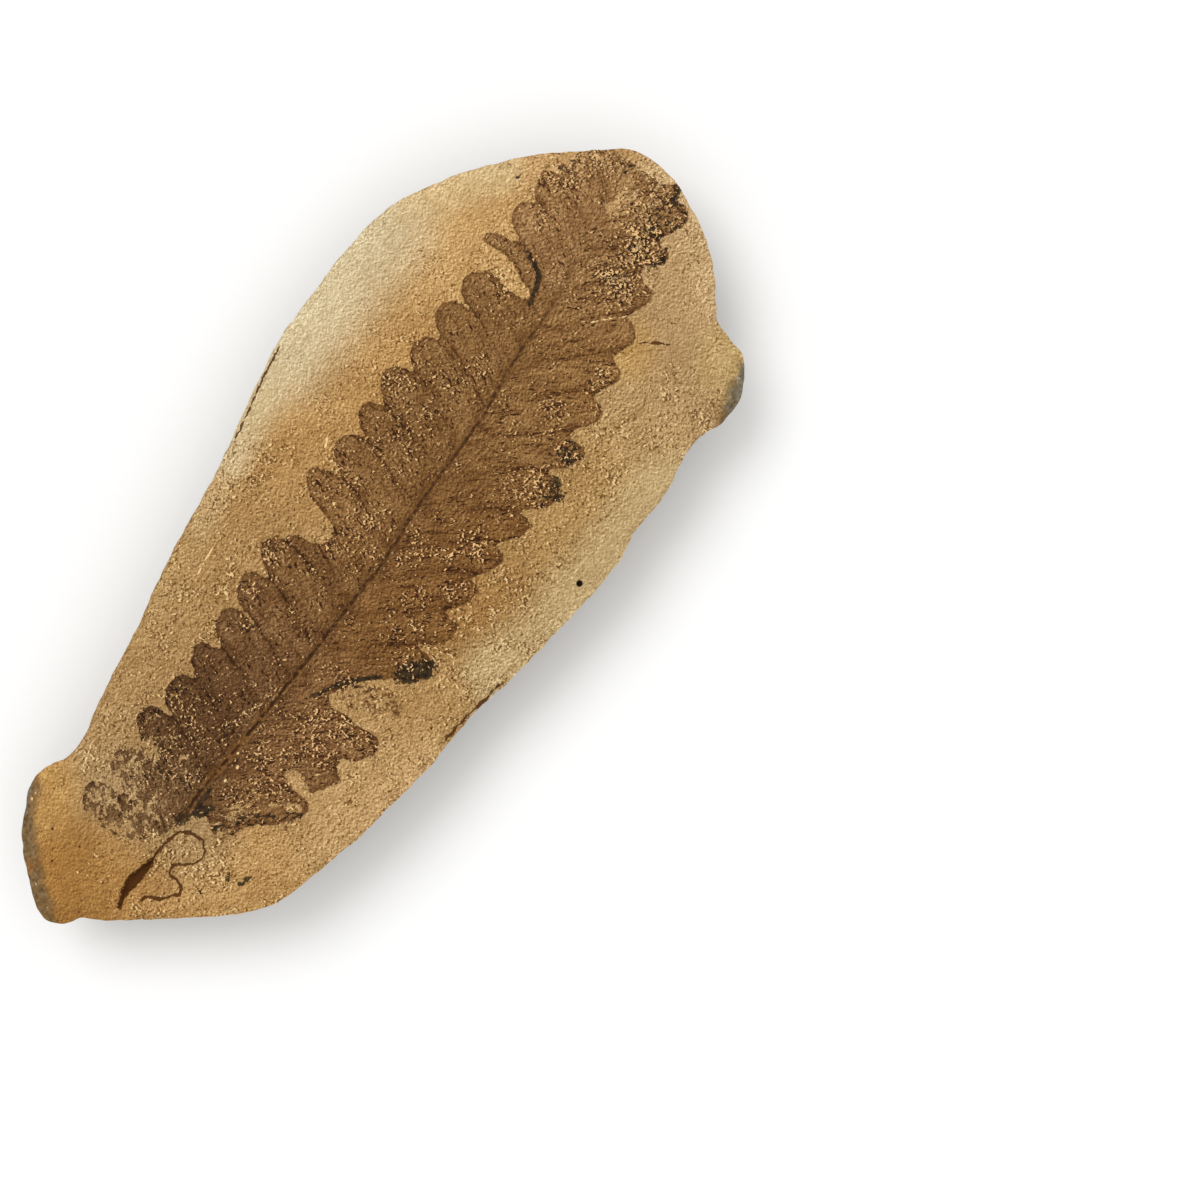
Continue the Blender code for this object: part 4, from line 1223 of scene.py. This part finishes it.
def skin_colour(place):
    """The nodule's weathered outside: grey, brown and rusty, with white pinholes."""
    grey = place.field("crust").line(CRUST_LEVEL, place.noise(*SKIN_MOTTLE))
    colour = mix(grey.step(*GREY_SPAN), BROWN_SKIN, GREY_SKIN)
    rust_and_highlight = place.noise(*SKIN_RUST).step(*SKIN_RUST_SPAN)
    colour = mix(rust_and_highlight * SKIN_RUST_STRENGTH, colour, RUST_SKIN)
    colour = shaded(colour, place.noise(*SKIN_GRAIN).line(*SKIN_GRAIN_LINE))
    return mix(pinholes(place), colour, PINHOLE)


def pinholes(place):
    """Small holes of many sizes, bent out of round."""
    bends = place.noise(*PINHOLE_NOISE, output="Color") * PINHOLE_BENDS
    inputs = {"Vector": place + bends, "Scale": 1.0 / PINHOLE_SPACING}
    cells = add_node(place.tree, "TexVoronoi", inputs)
    chance = add_node(place.tree, "SeparateColor", {0: Output(cells.outputs["Color"])})
    radius = Output(chance.outputs[0]).line(*PINHOLE_LINE)
    return (Output(cells.outputs["Distance"]) - radius).step(*PINHOLE_SPAN)


def crack_cover(place):
    """Where the stone gapes along a crack."""
    split = add_node(place.tree, "SeparateXYZ", {0: place.field("cracks", "Vector")})
    signed, nearest, width = [Output(socket) for socket in split.outputs]
    off = abs(signed + place.wander(*CRACK_WANDER))
    gape = width + place.noise(*GAPE).line(*GAPE_LINE)
    return (off - gape).step(*CRACK_SPAN) * (nearest - width).step(*CRACK_REACH)


def surface_relief(place, cover, flecks, carbon, cracks, skin):
    """Height of the finest relief, in millimetres."""
    height = cover * FILM_RELIEF
    for fine, *noise in (FINE_RELIEF, COARSE_RELIEF):
        height = place.noise(*noise).line(fine, height)
    for value, share in ((flecks, FLECK_RELIEF), (carbon, CARBON_RELIEF), (cracks, CRACK_RELIEF)):
        height = value.line(share, height)
    crust, *noise = CRUST_RELIEF
    return (place.noise(*noise) * skin).line(crust, height)


def stone_material():
    material, shader = new_material("ironstone_fossil")
    tree = material.node_tree
    coordinates = Output(add_node(tree, "TexCoord", {}).outputs["Object"])
    place = coordinates * (1 / MM, 1 / MM, 1 / MM)
    cover, depth, whole = film_cover(place)
    flecks, shade = film_flecks(place)
    flecks = flecks * cover
    carbon = carbon_cover(place)
    skin = place.covered("skin")
    cracks = crack_cover(place)
    hollows = place.covered("slot").larger(cracks)
    pale = place.covered("pale")
    colour = mix(cover, stone_colour(place), film_colour(place, depth, whole, shade))
    colour = mix(carbon * CARBON_STRENGTH, colour, carbon_colour(place))
    colour = mix(flecks * FLECK_STRENGTH, colour, PALE_FLECK)
    colour = rachis_colour(place, colour)
    colour = mix(skin, colour, skin_colour(place))
    colour = mix(pale * PALE_STRENGTH, colour, WHITE_SPECK)
    colour = mix(hollows * HOLLOW_STRENGTH, colour, HOLLOW)
    colour = mix(place.field("pits").step(*PIT_SPAN), colour, CARBON_BLACK)
    albedo = tuple(ALBEDO**power for power in SHADE_POWERS)
    connect(colour * albedo, shader.inputs["Base Color"])
    roughness = cover.line(FILM_ROUGHNESS, STONE_ROUGHNESS)
    connect(carbon.line(CARBON_ROUGHNESS, roughness), shader.inputs["Roughness"])
    shader.inputs["Specular IOR Level"].default_value = SHEEN
    relief = surface_relief(place, cover, flecks, carbon, cracks, skin)
    bump = add_node(tree, "Bump", {"Distance": MM, "Height": relief})
    connect(Output(bump.outputs["Normal"]), shader.inputs["Normal"])
    return material


# -------------------- floor, light and camera

FLOOR_COLOUR = (0.93, 0.93, 0.92, 1.0)
FLOOR_ROUGHNESS = 0.9
FLOOR_SIZE = 6.0
SKY_STRENGTH = 0.92
SUN_STRENGTH = 0.96
SUN_SOFTNESS = math.radians(35.0)
SUN_DIRECTION = (0.08, 0.55, 0.83)  # towards the sun: over the frond's upper row
PHOTO_CENTRE = (12.9, -26.5)  # the point of the face at the middle of the photograph
PHOTO_WIDTH = 150.0  # of the face's plane that the photograph takes in
PHOTO_TURN = math.radians(-53.0)
FACE_LEVEL = 12.4
LENS = 100.0
SENSOR = 36.0


def build_floor():
    half = FLOOR_SIZE / 2
    mesh = bpy.data.meshes.new("floor")
    square = [(-half, -half, 0.0), (half, -half, 0.0), (half, half, 0.0), (-half, half, 0.0)]
    mesh.from_pydata(square, [], [(0, 1, 2, 3)])
    material, shader = new_material("floor_paint")
    shader.inputs["Base Color"].default_value = FLOOR_COLOUR
    shader.inputs["Roughness"].default_value = FLOOR_ROUGHNESS
    mesh.materials.append(material)
    return add_object("floor", mesh)


def build_lights():
    world = bpy.data.worlds.new("soft_sky")
    bpy.context.scene.world = world
    world.use_nodes = True
    sky = world.node_tree.nodes["Background"]
    sky.inputs["Color"].default_value = (1.0, 1.0, 1.0, 1.0)
    sky.inputs["Strength"].default_value = SKY_STRENGTH
    sun = bpy.data.lights.new("soft_sun", "SUN")
    sun.energy = SUN_STRENGTH
    sun.angle = SUN_SOFTNESS
    lamp = add_object("soft_sun", sun)
    lamp.rotation_euler = Vector(SUN_DIRECTION).to_track_quat("Z", "Y").to_euler()


def build_camera():
    camera = bpy.data.cameras.new("photo_camera")
    camera.lens = LENS
    camera.sensor_width = SENSOR
    distance = PHOTO_WIDTH * LENS / SENSOR
    stand = add_object("photo_camera", camera)
    stand.location = Vector((*PHOTO_CENTRE, FACE_LEVEL + distance)) * MM
    stand.rotation_euler = (0.0, 0.0, PHOTO_TURN)
    bpy.context.scene.camera = stand


def set_view():
    settings = bpy.context.scene.view_settings
    settings.view_transform = "Standard"
    settings.look = "None"
    settings.exposure = 0.0
    settings.gamma = 1.0


def main():
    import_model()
    plate = build_plate()
    plate.data.materials.append(stone_material())
    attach(plate, "root")
    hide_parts("fossil_plate")
    build_floor()
    build_lights()
    build_camera()
    set_view()


main()
